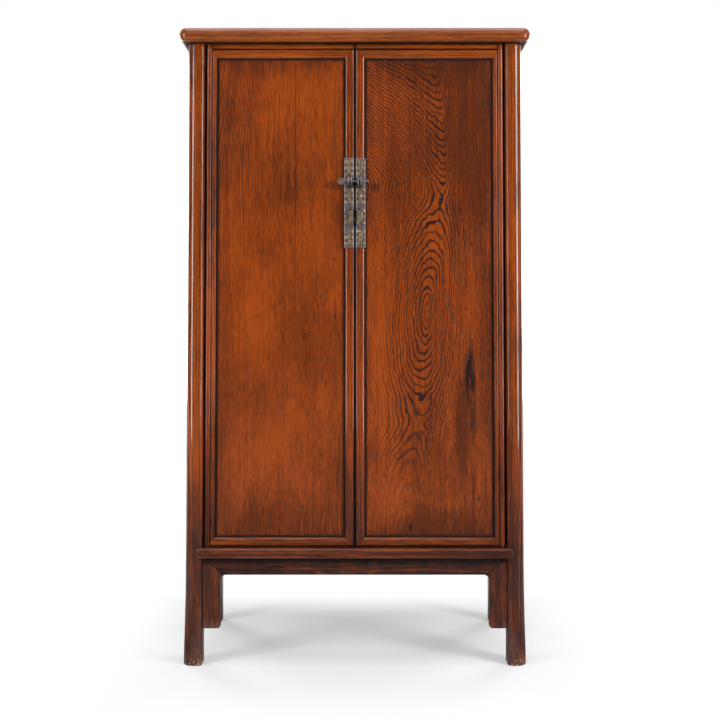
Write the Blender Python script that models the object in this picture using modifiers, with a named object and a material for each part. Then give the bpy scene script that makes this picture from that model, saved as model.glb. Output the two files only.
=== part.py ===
"""Tapered two-door cabinet with wooden pivot doors, brass face plates and a lock pin.

Metres, +Z up. The front faces -Y and the origin is on the floor, under the middle of the top.
"""
import math

import bmesh
import bpy
from mathutils import Matrix, Vector

# Driving dimensions of the whole cabinet
HEIGHT = 1.800
TOP_WIDTH = 0.990
TOP_DEPTH = 0.530
TOP_THICKNESS = 0.038
SIDE_OVERHANG = 0.021
FRONT_OVERHANG = 0.030
TAPER = 0.020
CLEARANCE = 0.0003
MITRE_GAP = 0.00045
EASED_EDGE = 0.0015

# Top frame
TOP_RAIL_WIDTH = 0.076
TOP_PANEL_THICKNESS = 0.012
TOP_BEAD_RADIUS = 0.003
TOP_QUIRK_HEIGHT = 0.0036
TOP_QUIRK_DEPTH = 0.0045
TOP_BULGE = 0.004
TOP_ARRIS = 0.003
TOP_TONGUE = 0.008
TOP_TONGUE_THICKNESS = 0.006
TOP_BATTEN_WIDTH = 0.050
TOP_BATTEN_THICKNESS = 0.020

# Posts
POST_SIZE = 0.049
POST_OUTER_RADIUS = 0.021
POST_INNER_RADIUS = 0.006
POST_TENON = 0.018
POST_TENON_HEIGHT = 0.014

# Sill, lower rails and floor
SILL_TOP = 0.334
SILL_THICKNESS = 0.018
SILL_BACK = 0.085
LEDGE_PROJECTION = 0.015
LEDGE_LAP = 0.0175
LEDGE_CORNER = 0.008
RAIL_DEPTH = 0.036
RAIL_SETBACK = 0.008
RAIL_SHOULDER = 0.006
TENON_LENGTH = 0.022
TENON_SETBACK = 0.0195
STUB_LENGTH = 0.007
TENON_WIDTH = 0.020
TENON_THICKNESS = 0.007
FLOOR_THICKNESS = 0.010
FLOOR_TONGUE = 0.008

# Side panels and back
SIDE_PANEL_THICKNESS = 0.010
SIDE_PANEL_RECESS = 0.009
BACK_PANEL_THICKNESS = 0.010
BACK_PANEL_RECESS = 0.014
PANEL_TONGUE = 0.009
RAIL_GROOVE = 0.004
MUNTIN_WIDTH = 0.044
MUNTIN_THICKNESS = 0.022

# Shelves
SHELF_THICKNESS = 0.018
SHELF_SETBACK = 0.020
SHELF_FRACTIONS = (1.0 / 3.0, 2.0 / 3.0)
BEARER_HEIGHT = 0.022
BEARER_WIDTH = 0.046

# Aprons under the sill
APRON_HEIGHT = 0.060
APRON_THICKNESS = 0.016
APRON_SETBACK = 0.007
SPANDREL_WIDTH = 0.051
SPANDREL_DROP = 0.212
SPANDREL_CORNER = 0.010
APRON_FILLET = 0.015

# Doors
DOOR_THICKNESS = 0.030
DOOR_RECESS = 0.0095
DOOR_GAP = 0.003
POST_GAP = 0.0035
BAND_RADIUS = 0.0087
QUIRK_DEPTH = 0.003
STILE_WIDTH = 0.034
MEETING_GAP = 0.003
MEETING_WIDTH = 0.0295
TOP_RAIL_HEIGHT = 0.028
BOTTOM_RAIL_HEIGHT = 0.027
FRAME_SLOPE = 0.007
FRAME_SLOPE_DEPTH = 0.005
DOOR_PANEL_DEPTH = 0.007
DOOR_PANEL_THICKNESS = 0.010
DOOR_TONGUE = 0.006
DOOR_BATTEN_HEIGHT = 0.030
DOOR_BATTEN_FRACTIONS = (0.30, 0.70)
DOOR_TENON_LENGTH = 0.018
DOOR_TENON_HEIGHT = 0.012
DOOR_TENON_SETBACK = 0.011
HEAD_STRIP_HEIGHT = 0.0125
NECK_GAP = 0.001
PIVOT_RADIUS = 0.0062
PIVOT_LENGTH = 0.014
PIVOT_CLEARANCE = 0.0006

# Metal fittings
PLATE_BOTTOM = 1.183
PLATE_HEIGHT = 0.254
PLATE_THICKNESS = 0.002
PLATE_EDGE = 0.0006
LUG_HEIGHT = 0.022
LUG_WIDTH = 0.012
LUG_REACH = 0.020
LUG_OFFSET = 0.006
LUG_RISE = 0.1867
LUG_CORNER = 0.0075
SHANK_WIDTH = 0.005
SHANK_LENGTH = 0.012
PIN_SETBACK = 0.008
PIN_RADIUS = 0.0027
PIN_CLEARANCE = 0.0007
PIN_TIP = 0.040
PIN_HEAD_LENGTH = 0.024
PIN_HEAD_HEIGHT = 0.017
PIN_HEAD_BELLY = 0.009
PIN_HEAD_POINT = 0.0119
PIN_HEAD_ROOT = 0.0032
PIN_HEAD_THICKNESS = 0.005
PIN_COLLAR_RADIUS = 0.0050
PIN_COLLAR_LENGTH = 0.008
PULL_RISE = 0.1092
PULL_OFFSET = 0.0115
PULL_LENGTH = 0.047
PULL_WIDTH = 0.022
PULL_SHOULDER = 0.0165
PULL_WAIST = 0.012
PULL_WAIST_DROP = 0.010
PULL_BELLY_RISE = 0.0143
PULL_EAR_ROOT = 0.0025
PULL_EAR_TOP = 0.0022
PULL_THICKNESS = 0.003
PULL_EAR_WIDTH = 0.0035
PULL_AXLE_RADIUS = 0.0011
EYE_RADIUS = 0.0042
EYE_CORNER = 0.004
EYE_WIDTH = 0.005
EYE_SHANK = 0.0025
EYE_REACH = 0.008
EYE_CLEARANCE = 0.0006

# Levels and faces that follow from the driving dimensions
TOP_UNDERSIDE = HEIGHT - TOP_THICKNESS
HALF_WIDTH = TOP_WIDTH / 2 - SIDE_OVERHANG
HALF_DEPTH = TOP_DEPTH / 2 - FRONT_OVERHANG
POST_INNER_X = HALF_WIDTH - POST_SIZE
POST_INNER_Y = HALF_DEPTH - POST_SIZE
SILL_BOTTOM = SILL_TOP - SILL_THICKNESS
SILL_INNER_Y = -HALF_DEPTH + SILL_BACK
RAIL_OUTER_X = HALF_WIDTH - RAIL_SETBACK
RAIL_INNER_X = RAIL_OUTER_X - RAIL_DEPTH
RAIL_OUTER_Y = HALF_DEPTH - RAIL_SETBACK
RAIL_INNER_Y = POST_INNER_Y - FLOOR_TONGUE - RAIL_SHOULDER
SIDE_PANEL_OUTER = HALF_WIDTH - SIDE_PANEL_RECESS
SIDE_PANEL_INNER = SIDE_PANEL_OUTER - SIDE_PANEL_THICKNESS
BACK_PANEL_OUTER = HALF_DEPTH - BACK_PANEL_RECESS
BACK_PANEL_INNER = BACK_PANEL_OUTER - BACK_PANEL_THICKNESS
FLOOR_TOP = SILL_TOP - (SILL_THICKNESS - FLOOR_THICKNESS) / 2
FLOOR_BOTTOM = FLOOR_TOP - FLOOR_THICKNESS
DOOR_FACE = -HALF_DEPTH + DOOR_RECESS
DOOR_BACK = DOOR_FACE + DOOR_THICKNESS
DOOR_BOTTOM = SILL_TOP + DOOR_GAP
STRIP_BOTTOM = TOP_UNDERSIDE - HEAD_STRIP_HEIGHT
DOOR_TOP = STRIP_BOTTOM - DOOR_GAP
AXIS_X = POST_INNER_X - POST_GAP - BAND_RADIUS
AXIS_Y = DOOR_FACE + BAND_RADIUS
STILE_OUTER = AXIS_X + BAND_RADIUS
STILE_INNER = STILE_OUTER - STILE_WIDTH
MEETING_EDGE = MEETING_GAP / 2
MEETING_INNER = MEETING_EDGE + MEETING_WIDTH
PANEL_FRONT = DOOR_FACE + DOOR_PANEL_DEPTH
PANEL_BACK = PANEL_FRONT + DOOR_PANEL_THICKNESS
PANEL_TOP = DOOR_TOP - TOP_RAIL_HEIGHT
PANEL_FOOT = DOOR_BOTTOM + BOTTOM_RAIL_HEIGHT
PLATE_BACK = DOOR_FACE - CLEARANCE
PLATE_FACE = PLATE_BACK - PLATE_THICKNESS
LUG_Z = PLATE_BOTTOM + LUG_RISE
LUG_BACK = PLATE_FACE - CLEARANCE
LUG_FRONT = LUG_BACK - LUG_REACH
PIN_Y = LUG_FRONT + PIN_SETBACK
PULL_Z = PLATE_BOTTOM + PULL_RISE
PULL_Y = PLATE_FACE - CLEARANCE - EYE_REACH
PULL_X = MEETING_EDGE + PULL_OFFSET
CUT_MARGIN = 0.010
ROUND_STEPS = 5
CIRCLE_STEPS = 24

# Colour, roughness and metallic value of each material
MATERIALS = {
    "door_wood": ((0.250, 0.085, 0.022, 1.0), 0.30, 0.0),
    "frame_wood": ((0.120, 0.045, 0.020, 1.0), 0.34, 0.0),
    "inner_wood": ((0.210, 0.100, 0.045, 1.0), 0.60, 0.0),
    "aged_brass": ((0.330, 0.270, 0.190, 1.0), 0.38, 1.0),
}
# The two directions of an outline and the direction in which it is drawn out
DIRECTIONS = {"X": "YZX", "Y": "XZY", "Z": "XYZ"}


def clear_scene():
    """Remove every object of the scene."""
    for item in list(bpy.data.objects):
        bpy.data.objects.remove(item, do_unlink=True)


def make_collection(name):
    """A collection of this name, linked to the scene."""
    collection = bpy.data.collections.new(name)
    bpy.context.scene.collection.children.link(collection)
    return collection


clear_scene()
PARTS = make_collection("tapered_cabinet")
CUTTERS = make_collection("cutters")


def make_material(name):
    """A Principled material in the colour of the piece."""
    colour, roughness, metallic = MATERIALS[name]
    material = bpy.data.materials.new(name)
    material.use_nodes = True
    shader = material.node_tree.nodes["Principled BSDF"]
    shader.inputs["Base Color"].default_value = colour
    shader.inputs["Roughness"].default_value = roughness
    shader.inputs["Metallic"].default_value = metallic
    material.diffuse_color = colour
    return material


LOOKS = {name: make_material(name) for name in MATERIALS}


def lean(point):
    """Carry a point of the upright layout to its place on the tapered cabinet."""
    growth = 1.0 + TAPER * max(0.0, 1.0 - point[2] / TOP_UNDERSIDE)
    return Vector((point[0] * growth, point[1] * growth, point[2]))


def finish(bm, name, look, origin):
    """Lean a modelled shape, put it in an object with this origin and return the object."""
    for vert in bm.verts:
        vert.co = lean(vert.co) - origin
    bmesh.ops.recalc_face_normals(bm, faces=bm.faces)
    mesh = bpy.data.meshes.new(name)
    bm.to_mesh(mesh)
    bm.free()
    item = bpy.data.objects.new(name, mesh)
    item.location = origin
    if look is None:
        item.hide_render = True
        item.display_type = "WIRE"
        CUTTERS.objects.link(item)
    else:
        mesh.materials.append(LOOKS[look])
        PARTS.objects.link(item)
    return item


def box(name, look, xs, ys, zs, origin=Vector(), bevel=0.0):
    """A box between pairs of faces, with its edges eased where a bevel is given."""
    low = Vector(map(min, (xs, ys, zs)))
    high = Vector(map(max, (xs, ys, zs)))
    bm = bmesh.new()
    size = Matrix.Diagonal((high - low).to_4d())
    bmesh.ops.create_cube(bm, size=1.0, matrix=Matrix.Translation((low + high) / 2) @ size)
    item = finish(bm, name, look, origin)
    if bevel:
        ease = item.modifiers.new("eased edges", "BEVEL")
        ease.width = bevel
        ease.segments = 2
        ease.limit_method = "ANGLE"
    return item


def prism(name, look, outline, along, low, high, origin=Vector()):
    """A closed outline drawn out along X, Y or Z."""
    first, second, third = ("XYZ".index(letter) for letter in DIRECTIONS[along])
    bm = bmesh.new()
    for across, up in outline:
        point = Vector()
        point[first] = across
        point[second] = up
        point[third] = low
        bm.verts.new(point)
    bm.verts.ensure_lookup_table()
    for index in range(len(outline)):
        bm.edges.new((bm.verts[index - 1], bm.verts[index]))
    face = bmesh.ops.contextual_create(bm, geom=bm.edges[:])["faces"]
    drawn = bmesh.ops.extrude_face_region(bm, geom=face)["geom"]
    travel = Vector()
    travel[third] = high - low
    moved = [part for part in drawn if isinstance(part, bmesh.types.BMVert)]
    bmesh.ops.translate(bm, verts=moved, vec=travel)
    return finish(bm, name, look, origin)


def arc(centre, radius, start, end, steps):
    """Points of an arc between two angles in degrees."""
    points = []
    for index in range(steps + 1):
        angle = math.radians(start + (end - start) * index / steps)
        points.append((centre[0] + radius * math.cos(angle), centre[1] + radius * math.sin(angle)))
    return points


def rounded(across, up, radii):
    """Outline of a rectangle whose corner radii run from its low corner, anticlockwise."""
    corners = (
        (across[0], up[0], 1, 1),
        (across[1], up[0], -1, 1),
        (across[1], up[1], -1, -1),
        (across[0], up[1], 1, -1),
    )
    points = []
    for index, ((a, b, inward_a, inward_b), radius) in enumerate(zip(corners, radii)):
        if radius:
            centre = (a + inward_a * radius, b + inward_b * radius)
            points += arc(centre, radius, 180 + 90 * index, 270 + 90 * index, ROUND_STEPS)
        else:
            points.append((a, b))
    return points


def circle(centre, radius):
    """Outline of a circle."""
    return arc(centre, radius, 0, 360, CIRCLE_STEPS)[:-1]


def boolean(target, tool, operation):
    """Cut one shape from a piece, or join it on."""
    change = target.modifiers.new(f"{operation.lower()} {tool.name}", "BOOLEAN")
    change.operation = operation
    change.object = tool


def cut(tool, *targets):
    """Cut a shape from each of these pieces."""
    for target in targets:
        boolean(target, tool, "DIFFERENCE")


def join(tool, target):
    """Join a shape to a piece."""
    boolean(target, tool, "UNION")


def grown(pair, by=CLEARANCE):
    """A pair of faces moved apart by a clearance at each side."""
    return (min(pair) - by, max(pair) + by)


def tenon(name, target, mortised, xs, ys, zs):
    """A tenon on a piece, with a mortise that clears it in each piece of a list."""
    join(box(f"{name}_tenon", None, xs, ys, zs), target)
    cut(box(f"{name}_mortise", None, grown(xs), grown(ys), grown(zs)), *mortised)


def side_pair(side, low, high):
    """A pair of distances from the middle, on the left (-1) or on the right (1)."""
    return tuple(sorted((side * low, side * high)))


def hinge_point(side, height):
    """The point of a door's leaning pivot axis at this height."""
    return lean((side * AXIS_X, AXIS_Y, height))


SIDES = (("left", -1), ("right", 1))


def top_profile():
    """Section of a top rail: distance in from the outer face, and height."""
    bead = TOP_BEAD_RADIUS
    bead_top = TOP_UNDERSIDE + 2 * bead
    low = bead_top + TOP_QUIRK_HEIGHT
    high = HEIGHT - TOP_ARRIS
    points = [(TOP_RAIL_WIDTH, TOP_UNDERSIDE)]
    points += [
        (TOP_BULGE + bead - across, TOP_UNDERSIDE + bead + up)
        for across, up in arc((0, 0), bead, -90, 90, ROUND_STEPS)
    ]
    points.append((TOP_BULGE + TOP_QUIRK_DEPTH, (bead_top + low) / 2))
    points += [
        (TOP_BULGE * (1 - across), (low + high) / 2 + (high - low) / 2 * up)
        for across, up in arc((0, 0), 1, -90, 90, 2 * ROUND_STEPS)
    ]
    return points + [(TOP_BULGE + TOP_ARRIS, HEIGHT), (TOP_RAIL_WIDTH, HEIGHT)]


def top_rail(name, half_length, half_span, along_x, side):
    """A moulded rail of the top frame with mitred ends."""
    bm = bmesh.new()
    rings = []
    for end in (-1, 1):
        ring = []
        for inward, height in top_profile():
            along = end * (half_length - inward - CLEARANCE / 2)
            across = side * (half_span - inward)
            ring.append(bm.verts.new((along, across, height) if along_x else (across, along, height)))
        rings.append(ring)
    edges = []
    for ring in rings:
        edges += [bm.edges.new((ring[index - 1], ring[index])) for index in range(len(ring))]
    bmesh.ops.bridge_loops(bm, edges=edges)
    bmesh.ops.holes_fill(bm, edges=bm.edges[:])
    return finish(bm, name, "frame_wood", Vector())


def build_top():
    """The mitred top frame, its panel and the batten under it."""
    half_x = TOP_WIDTH / 2
    half_y = TOP_DEPTH / 2
    rails = {
        "front": top_rail("top_front_rail", half_x, half_y, True, -1),
        "back": top_rail("top_back_rail", half_x, half_y, True, 1),
        "left": top_rail("top_left_rail", half_y, half_x, False, -1),
        "right": top_rail("top_right_rail", half_y, half_x, False, 1),
    }
    field_x = half_x - TOP_RAIL_WIDTH - CLEARANCE
    field_y = half_y - TOP_RAIL_WIDTH - CLEARANCE
    panel_bottom = HEIGHT - TOP_PANEL_THICKNESS
    panel = box("top_panel", "frame_wood", (-field_x, field_x), (-field_y, field_y), (panel_bottom, HEIGHT))
    tongue_x = (-field_x - TOP_TONGUE, field_x + TOP_TONGUE)
    tongue_y = (-field_y - TOP_TONGUE, field_y + TOP_TONGUE)
    tongue_middle = (panel_bottom + HEIGHT) / 2
    tongue_z = (tongue_middle - TOP_TONGUE_THICKNESS / 2, tongue_middle + TOP_TONGUE_THICKNESS / 2)
    tenon("top_panel", panel, rails.values(), tongue_x, tongue_y, tongue_z)
    batten_top = panel_bottom - CLEARANCE
    half = TOP_BATTEN_WIDTH / 2
    batten_z = (batten_top - TOP_BATTEN_THICKNESS, batten_top)
    batten = box("top_batten", "inner_wood", (-half, half), (-field_y, field_y), batten_z)
    middle = batten_top - TOP_BATTEN_THICKNESS / 2
    stub_x = (-half + TENON_THICKNESS, half - TENON_THICKNESS)
    stub_z = (middle - TENON_THICKNESS / 2, middle + TENON_THICKNESS / 2)
    tenon("top_batten", batten, (rails["front"], rails["back"]), stub_x, tongue_y, stub_z)
    return rails


def build_posts(top_rails):
    """Four leaning posts, round at the outer corner, tenoned up into the top frame."""
    posts = {}
    for side_name, side in SIDES:
        for face_name, face in (("front", -1), ("back", 1)):
            across = side_pair(side, POST_INNER_X, HALF_WIDTH)
            deep = side_pair(face, POST_INNER_Y, HALF_DEPTH)
            radii = []
            for corner_x, corner_y in ((-1, -1), (1, -1), (1, 1), (-1, 1)):
                if corner_x == side and corner_y == face:
                    radii.append(POST_OUTER_RADIUS)
                elif corner_x != side and corner_y == face:
                    radii.append(POST_INNER_RADIUS)
                else:
                    radii.append(0.0)
            name = f"{face_name}_{side_name}_post"
            outline = rounded(across, deep, radii)
            post = prism(name, "frame_wood", outline, "Z", 0.0, TOP_UNDERSIDE - CLEARANCE)
            middle_x = sum(across) / 2
            middle_y = sum(deep) / 2
            tenon(
                name,
                post,
                (top_rails[face_name], top_rails[side_name]),
                (middle_x - POST_TENON / 2, middle_x + POST_TENON / 2),
                (middle_y - POST_TENON / 2, middle_y + POST_TENON / 2),
                (TOP_UNDERSIDE - CUT_MARGIN, TOP_UNDERSIDE + POST_TENON_HEIGHT),
            )
            posts[face_name, side_name] = post
    return posts


def sill_outline():
    """Plan of the sill: a rail between the posts with a ledge that laps over their fronts."""
    neck = POST_INNER_X - CLEARANCE
    reach = POST_INNER_X + LEDGE_LAP
    shoulder = -HALF_DEPTH - CLEARANCE
    front = -HALF_DEPTH - LEDGE_PROJECTION
    corner = LEDGE_CORNER
    half = [(neck, SILL_INNER_Y), (neck, shoulder), (reach, shoulder)]
    half += arc((reach - corner, front + corner), corner, 0, -90, ROUND_STEPS)
    return half + [(-x, y) for x, y in reversed(half)]


def build_lower_frame(posts):
    """The sill, the lower rails and the floor panel that sits in their grooves."""
    sill = prism("front_sill_rail", "frame_wood", sill_outline(), "Z", SILL_BOTTOM, SILL_TOP)
    middle = (SILL_TOP + SILL_BOTTOM) / 2
    tenon_z = (middle - TENON_THICKNESS / 2, middle + TENON_THICKNESS / 2)
    rail_z = (SILL_BOTTOM, SILL_TOP)
    neck = POST_INNER_X - CLEARANCE
    back = box("back_lower_rail", "inner_wood", (-neck, neck), (RAIL_INNER_Y, RAIL_OUTER_Y), rail_z)
    rails = {"front": sill, "back": back}
    for side_name, side in SIDES:
        root = side_pair(side, neck - CUT_MARGIN, POST_INNER_X + TENON_LENGTH)
        for face_name, face, rail in (("front", -1, sill), ("back", 1, back)):
            centre = face * (HALF_DEPTH - TENON_SETBACK)
            tenon_y = (centre - TENON_WIDTH / 2, centre + TENON_WIDTH / 2)
            tenon(f"{rail.name}_{side_name}", rail, [posts[face_name, side_name]], root, tenon_y, tenon_z)
        across = side_pair(side, RAIL_INNER_X, RAIL_OUTER_X)
        reach = POST_INNER_Y - CLEARANCE
        rail = box(f"{side_name}_lower_rail", "frame_wood", across, (-reach, reach), rail_z)
        stub = POST_INNER_Y + STUB_LENGTH
        tenon_x = side_pair(side, RAIL_INNER_X + TENON_THICKNESS, RAIL_OUTER_X - TENON_THICKNESS)
        joined = (posts["front", side_name], posts["back", side_name])
        tenon(f"{side_name}_lower_rail", rail, joined, tenon_x, (-stub, stub), tenon_z)
        rails[side_name] = rail
    edge_x = RAIL_INNER_X + FLOOR_TONGUE
    floor_y = (SILL_INNER_Y - FLOOR_TONGUE, RAIL_INNER_Y + FLOOR_TONGUE)
    floor_z = (FLOOR_BOTTOM, FLOOR_TOP)
    box("floor_panel", "inner_wood", (-edge_x, edge_x), floor_y, floor_z)
    groove = box("floor_groove", None, grown((-edge_x, edge_x)), grown(floor_y), grown(floor_z))
    cut(groove, *rails.values())
    return rails


def build_walls(posts, top_rails, lower_rails):
    """Side panels and back boards in grooves, and the muntin between the boards."""
    wall_z = (SILL_TOP - RAIL_GROOVE, TOP_UNDERSIDE + RAIL_GROOVE)
    reach = POST_INNER_Y + PANEL_TONGUE
    for side_name, side in SIDES:
        across = side_pair(side, SIDE_PANEL_INNER, SIDE_PANEL_OUTER)
        box(f"{side_name}_side_panel", "frame_wood", across, (-reach, reach), wall_z)
        groove_y = grown((-reach, reach))
        groove = box(f"{side_name}_side_groove", None, grown(across), groove_y, grown(wall_z))
        cut(groove, posts["front", side_name], posts["back", side_name])
        cut(groove, top_rails[side_name], lower_rails[side_name])
    half = MUNTIN_WIDTH / 2
    middle = (BACK_PANEL_INNER + BACK_PANEL_OUTER) / 2
    deep = (middle - MUNTIN_THICKNESS / 2, middle + MUNTIN_THICKNESS / 2)
    muntin_z = (SILL_TOP + CLEARANCE, TOP_UNDERSIDE - CLEARANCE)
    muntin = box("back_muntin", "inner_wood", (-half, half), deep, muntin_z)
    for side_name, side in SIDES:
        across = side_pair(side, half - PANEL_TONGUE, POST_INNER_X + PANEL_TONGUE)
        board_y = (BACK_PANEL_INNER, BACK_PANEL_OUTER)
        box(f"back_{side_name}_board", "inner_wood", across, board_y, wall_z)
        groove = box(f"back_{side_name}_groove", None, grown(across), grown(board_y), grown(wall_z))
        cut(groove, posts["back", side_name], muntin, top_rails["back"], lower_rails["back"])


def build_shelves():
    """Two shelves, each resting on a bearer at either side."""
    inside = TOP_UNDERSIDE - SILL_TOP
    shelf_x = POST_INNER_X - CLEARANCE
    shelf_y = (DOOR_BACK + SHELF_SETBACK, BACK_PANEL_INNER - MUNTIN_THICKNESS / 2)
    bearer_y = (shelf_y[0], POST_INNER_Y - CLEARANCE)
    for name, fraction in zip(("lower", "upper"), SHELF_FRACTIONS):
        top = SILL_TOP + inside * fraction
        bottom = top - SHELF_THICKNESS
        box(f"{name}_shelf", "inner_wood", (-shelf_x, shelf_x), shelf_y, (bottom, top), bevel=EASED_EDGE)
        for side_name, side in SIDES:
            outer = SIDE_PANEL_INNER - CLEARANCE
            across = side_pair(side, outer - BEARER_WIDTH, outer)
            bearer_z = (bottom - CLEARANCE - BEARER_HEIGHT, bottom - CLEARANCE)
            front = max(bearer_y[0], -POST_INNER_Y + CLEARANCE)
            box(f"{side_name}_{name}_bearer", "inner_wood", across, (front, bearer_y[1]), bearer_z)


def apron_corner(reach, start, end):
    """Points of the concave fillet where an apron turns down into a spandrel."""
    inner = reach - SPANDREL_WIDTH
    bottom = SILL_BOTTOM - APRON_HEIGHT
    return arc((inner - APRON_FILLET, bottom - APRON_FILLET), APRON_FILLET, start, end, ROUND_STEPS)


def apron_outline(reach):
    """Across and height of an apron board between two mitres that end at the fillets."""
    half = [(reach - MITRE_GAP, SILL_BOTTOM - CLEARANCE)]
    half += [(across - MITRE_GAP, height) for across, height in apron_corner(reach, 45, 90)]
    return half + [(-across, height) for across, height in reversed(half)]


def spandrel_outline(side, reach):
    """A spandrel that meets the apron at its mitre and hangs down along the post."""
    inner = reach - SPANDREL_WIDTH
    foot = SILL_BOTTOM - SPANDREL_DROP
    corner = SPANDREL_CORNER
    points = [(reach, SILL_BOTTOM - CLEARANCE)]
    points += apron_corner(reach, 45, 0)
    points += arc((inner + corner, foot + corner), corner, 180, 270, ROUND_STEPS)
    points.append((reach, foot))
    return [(side * across, height) for across, height in points]


def build_aprons():
    """Aprons with hanging spandrels at the front and the sides, and a plain one at the back."""
    reach_x = POST_INNER_X - CLEARANCE
    reach_y = POST_INNER_Y - CLEARANCE
    front_y = -HALF_DEPTH + APRON_SETBACK
    front = (front_y, front_y + APRON_THICKNESS)
    prism("front_apron", "frame_wood", apron_outline(reach_x), "Y", *front)
    for side_name, side in SIDES:
        outline = spandrel_outline(side, reach_x)
        prism(f"front_apron_{side_name}_spandrel", "frame_wood", outline, "Y", *front)
        outer = HALF_WIDTH - APRON_SETBACK
        span = side_pair(side, outer - APRON_THICKNESS, outer)
        prism(f"{side_name}_apron", "frame_wood", apron_outline(reach_y), "X", *span)
        for end_name, end in (("front", -1), ("back", 1)):
            outline = spandrel_outline(end, reach_y)
            prism(f"{side_name}_apron_{end_name}_spandrel", "frame_wood", outline, "X", *span)
    back_y = HALF_DEPTH - APRON_SETBACK
    apron_z = (SILL_BOTTOM - APRON_HEIGHT, SILL_BOTTOM - CLEARANCE)
    box("back_apron", "inner_wood", (-reach_x, reach_x), (back_y - APRON_THICKNESS, back_y), apron_z)


def pivot_stile_outline(side):
    """Plan of a pivot stile: a half-round band on the pivot axis, a quirk and a flat face."""
    drop = BAND_RADIUS - QUIRK_DEPTH
    spread = math.sqrt(BAND_RADIUS**2 - drop**2)
    turn = math.degrees(math.atan2(drop, spread))
    points = arc((AXIS_X, AXIS_Y), BAND_RADIUS, 0, -180 + turn, 2 * ROUND_STEPS)
    points.append((AXIS_X - spread - QUIRK_DEPTH / 2, DOOR_FACE))
    points.append((STILE_INNER + FRAME_SLOPE_DEPTH, DOOR_FACE))
    points.append((STILE_INNER, DOOR_FACE + FRAME_SLOPE_DEPTH))
    points += [(STILE_INNER, DOOR_BACK), (STILE_OUTER, DOOR_BACK)]
    return [(side * x, y) for x, y in points]


def meeting_stile_outline(side):
    """Plan of a meeting stile: an eased meeting edge, a flat face and a slope to the panel."""
    ease = FRAME_SLOPE_DEPTH / 2
    points = arc((MEETING_EDGE + ease, DOOR_FACE + ease), ease, 180, 270, ROUND_STEPS)
    points.append((MEETING_INNER - FRAME_SLOPE, DOOR_FACE))
    points.append((MEETING_INNER, DOOR_FACE + FRAME_SLOPE_DEPTH))
    points += [(MEETING_INNER, DOOR_BACK), (MEETING_EDGE, DOOR_BACK)]
    return [(side * x, y) for x, y in points]


def door_rail_outline(outer, inner):
    """Section of a door rail: depth and height, with a slope at the edge next to the panel."""
    inward = math.copysign(1.0, inner - outer)
    slope_start = inner - inward * FRAME_SLOPE_DEPTH
    points = [(DOOR_FACE, outer), (DOOR_FACE, slope_start), (DOOR_FACE + FRAME_SLOPE_DEPTH, inner)]
    return points + [(DOOR_BACK, inner), (DOOR_BACK, outer)]


def add_pivots(stile, side, sill, top_front):
    """Round pivots on a stile, which turn in sockets in the sill and in the top frame."""
    centre = (side * AXIS_X, AXIS_Y)
    neck = circle(centre, BAND_RADIUS - CLEARANCE)
    top_stop = TOP_UNDERSIDE - NECK_GAP
    join(prism(f"{stile.name}_neck", None, neck, "Z", DOOR_TOP - CUT_MARGIN, top_stop), stile)
    spans = {
        "upper": (top_stop - CUT_MARGIN, TOP_UNDERSIDE + PIVOT_LENGTH),
        "lower": (SILL_TOP - PIVOT_LENGTH, DOOR_BOTTOM + CUT_MARGIN),
    }
    socket = circle(centre, PIVOT_RADIUS + PIVOT_CLEARANCE)
    for name, housing in (("upper", top_front), ("lower", sill)):
        low, high = spans[name]
        pivot = prism(f"{stile.name}_{name}_pivot", None, circle(centre, PIVOT_RADIUS), "Z", low, high)
        join(pivot, stile)
        low, high = grown((low, high), PIVOT_CLEARANCE)
        cut(prism(f"{stile.name}_{name}_socket", None, socket, "Z", low, high), housing)


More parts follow.
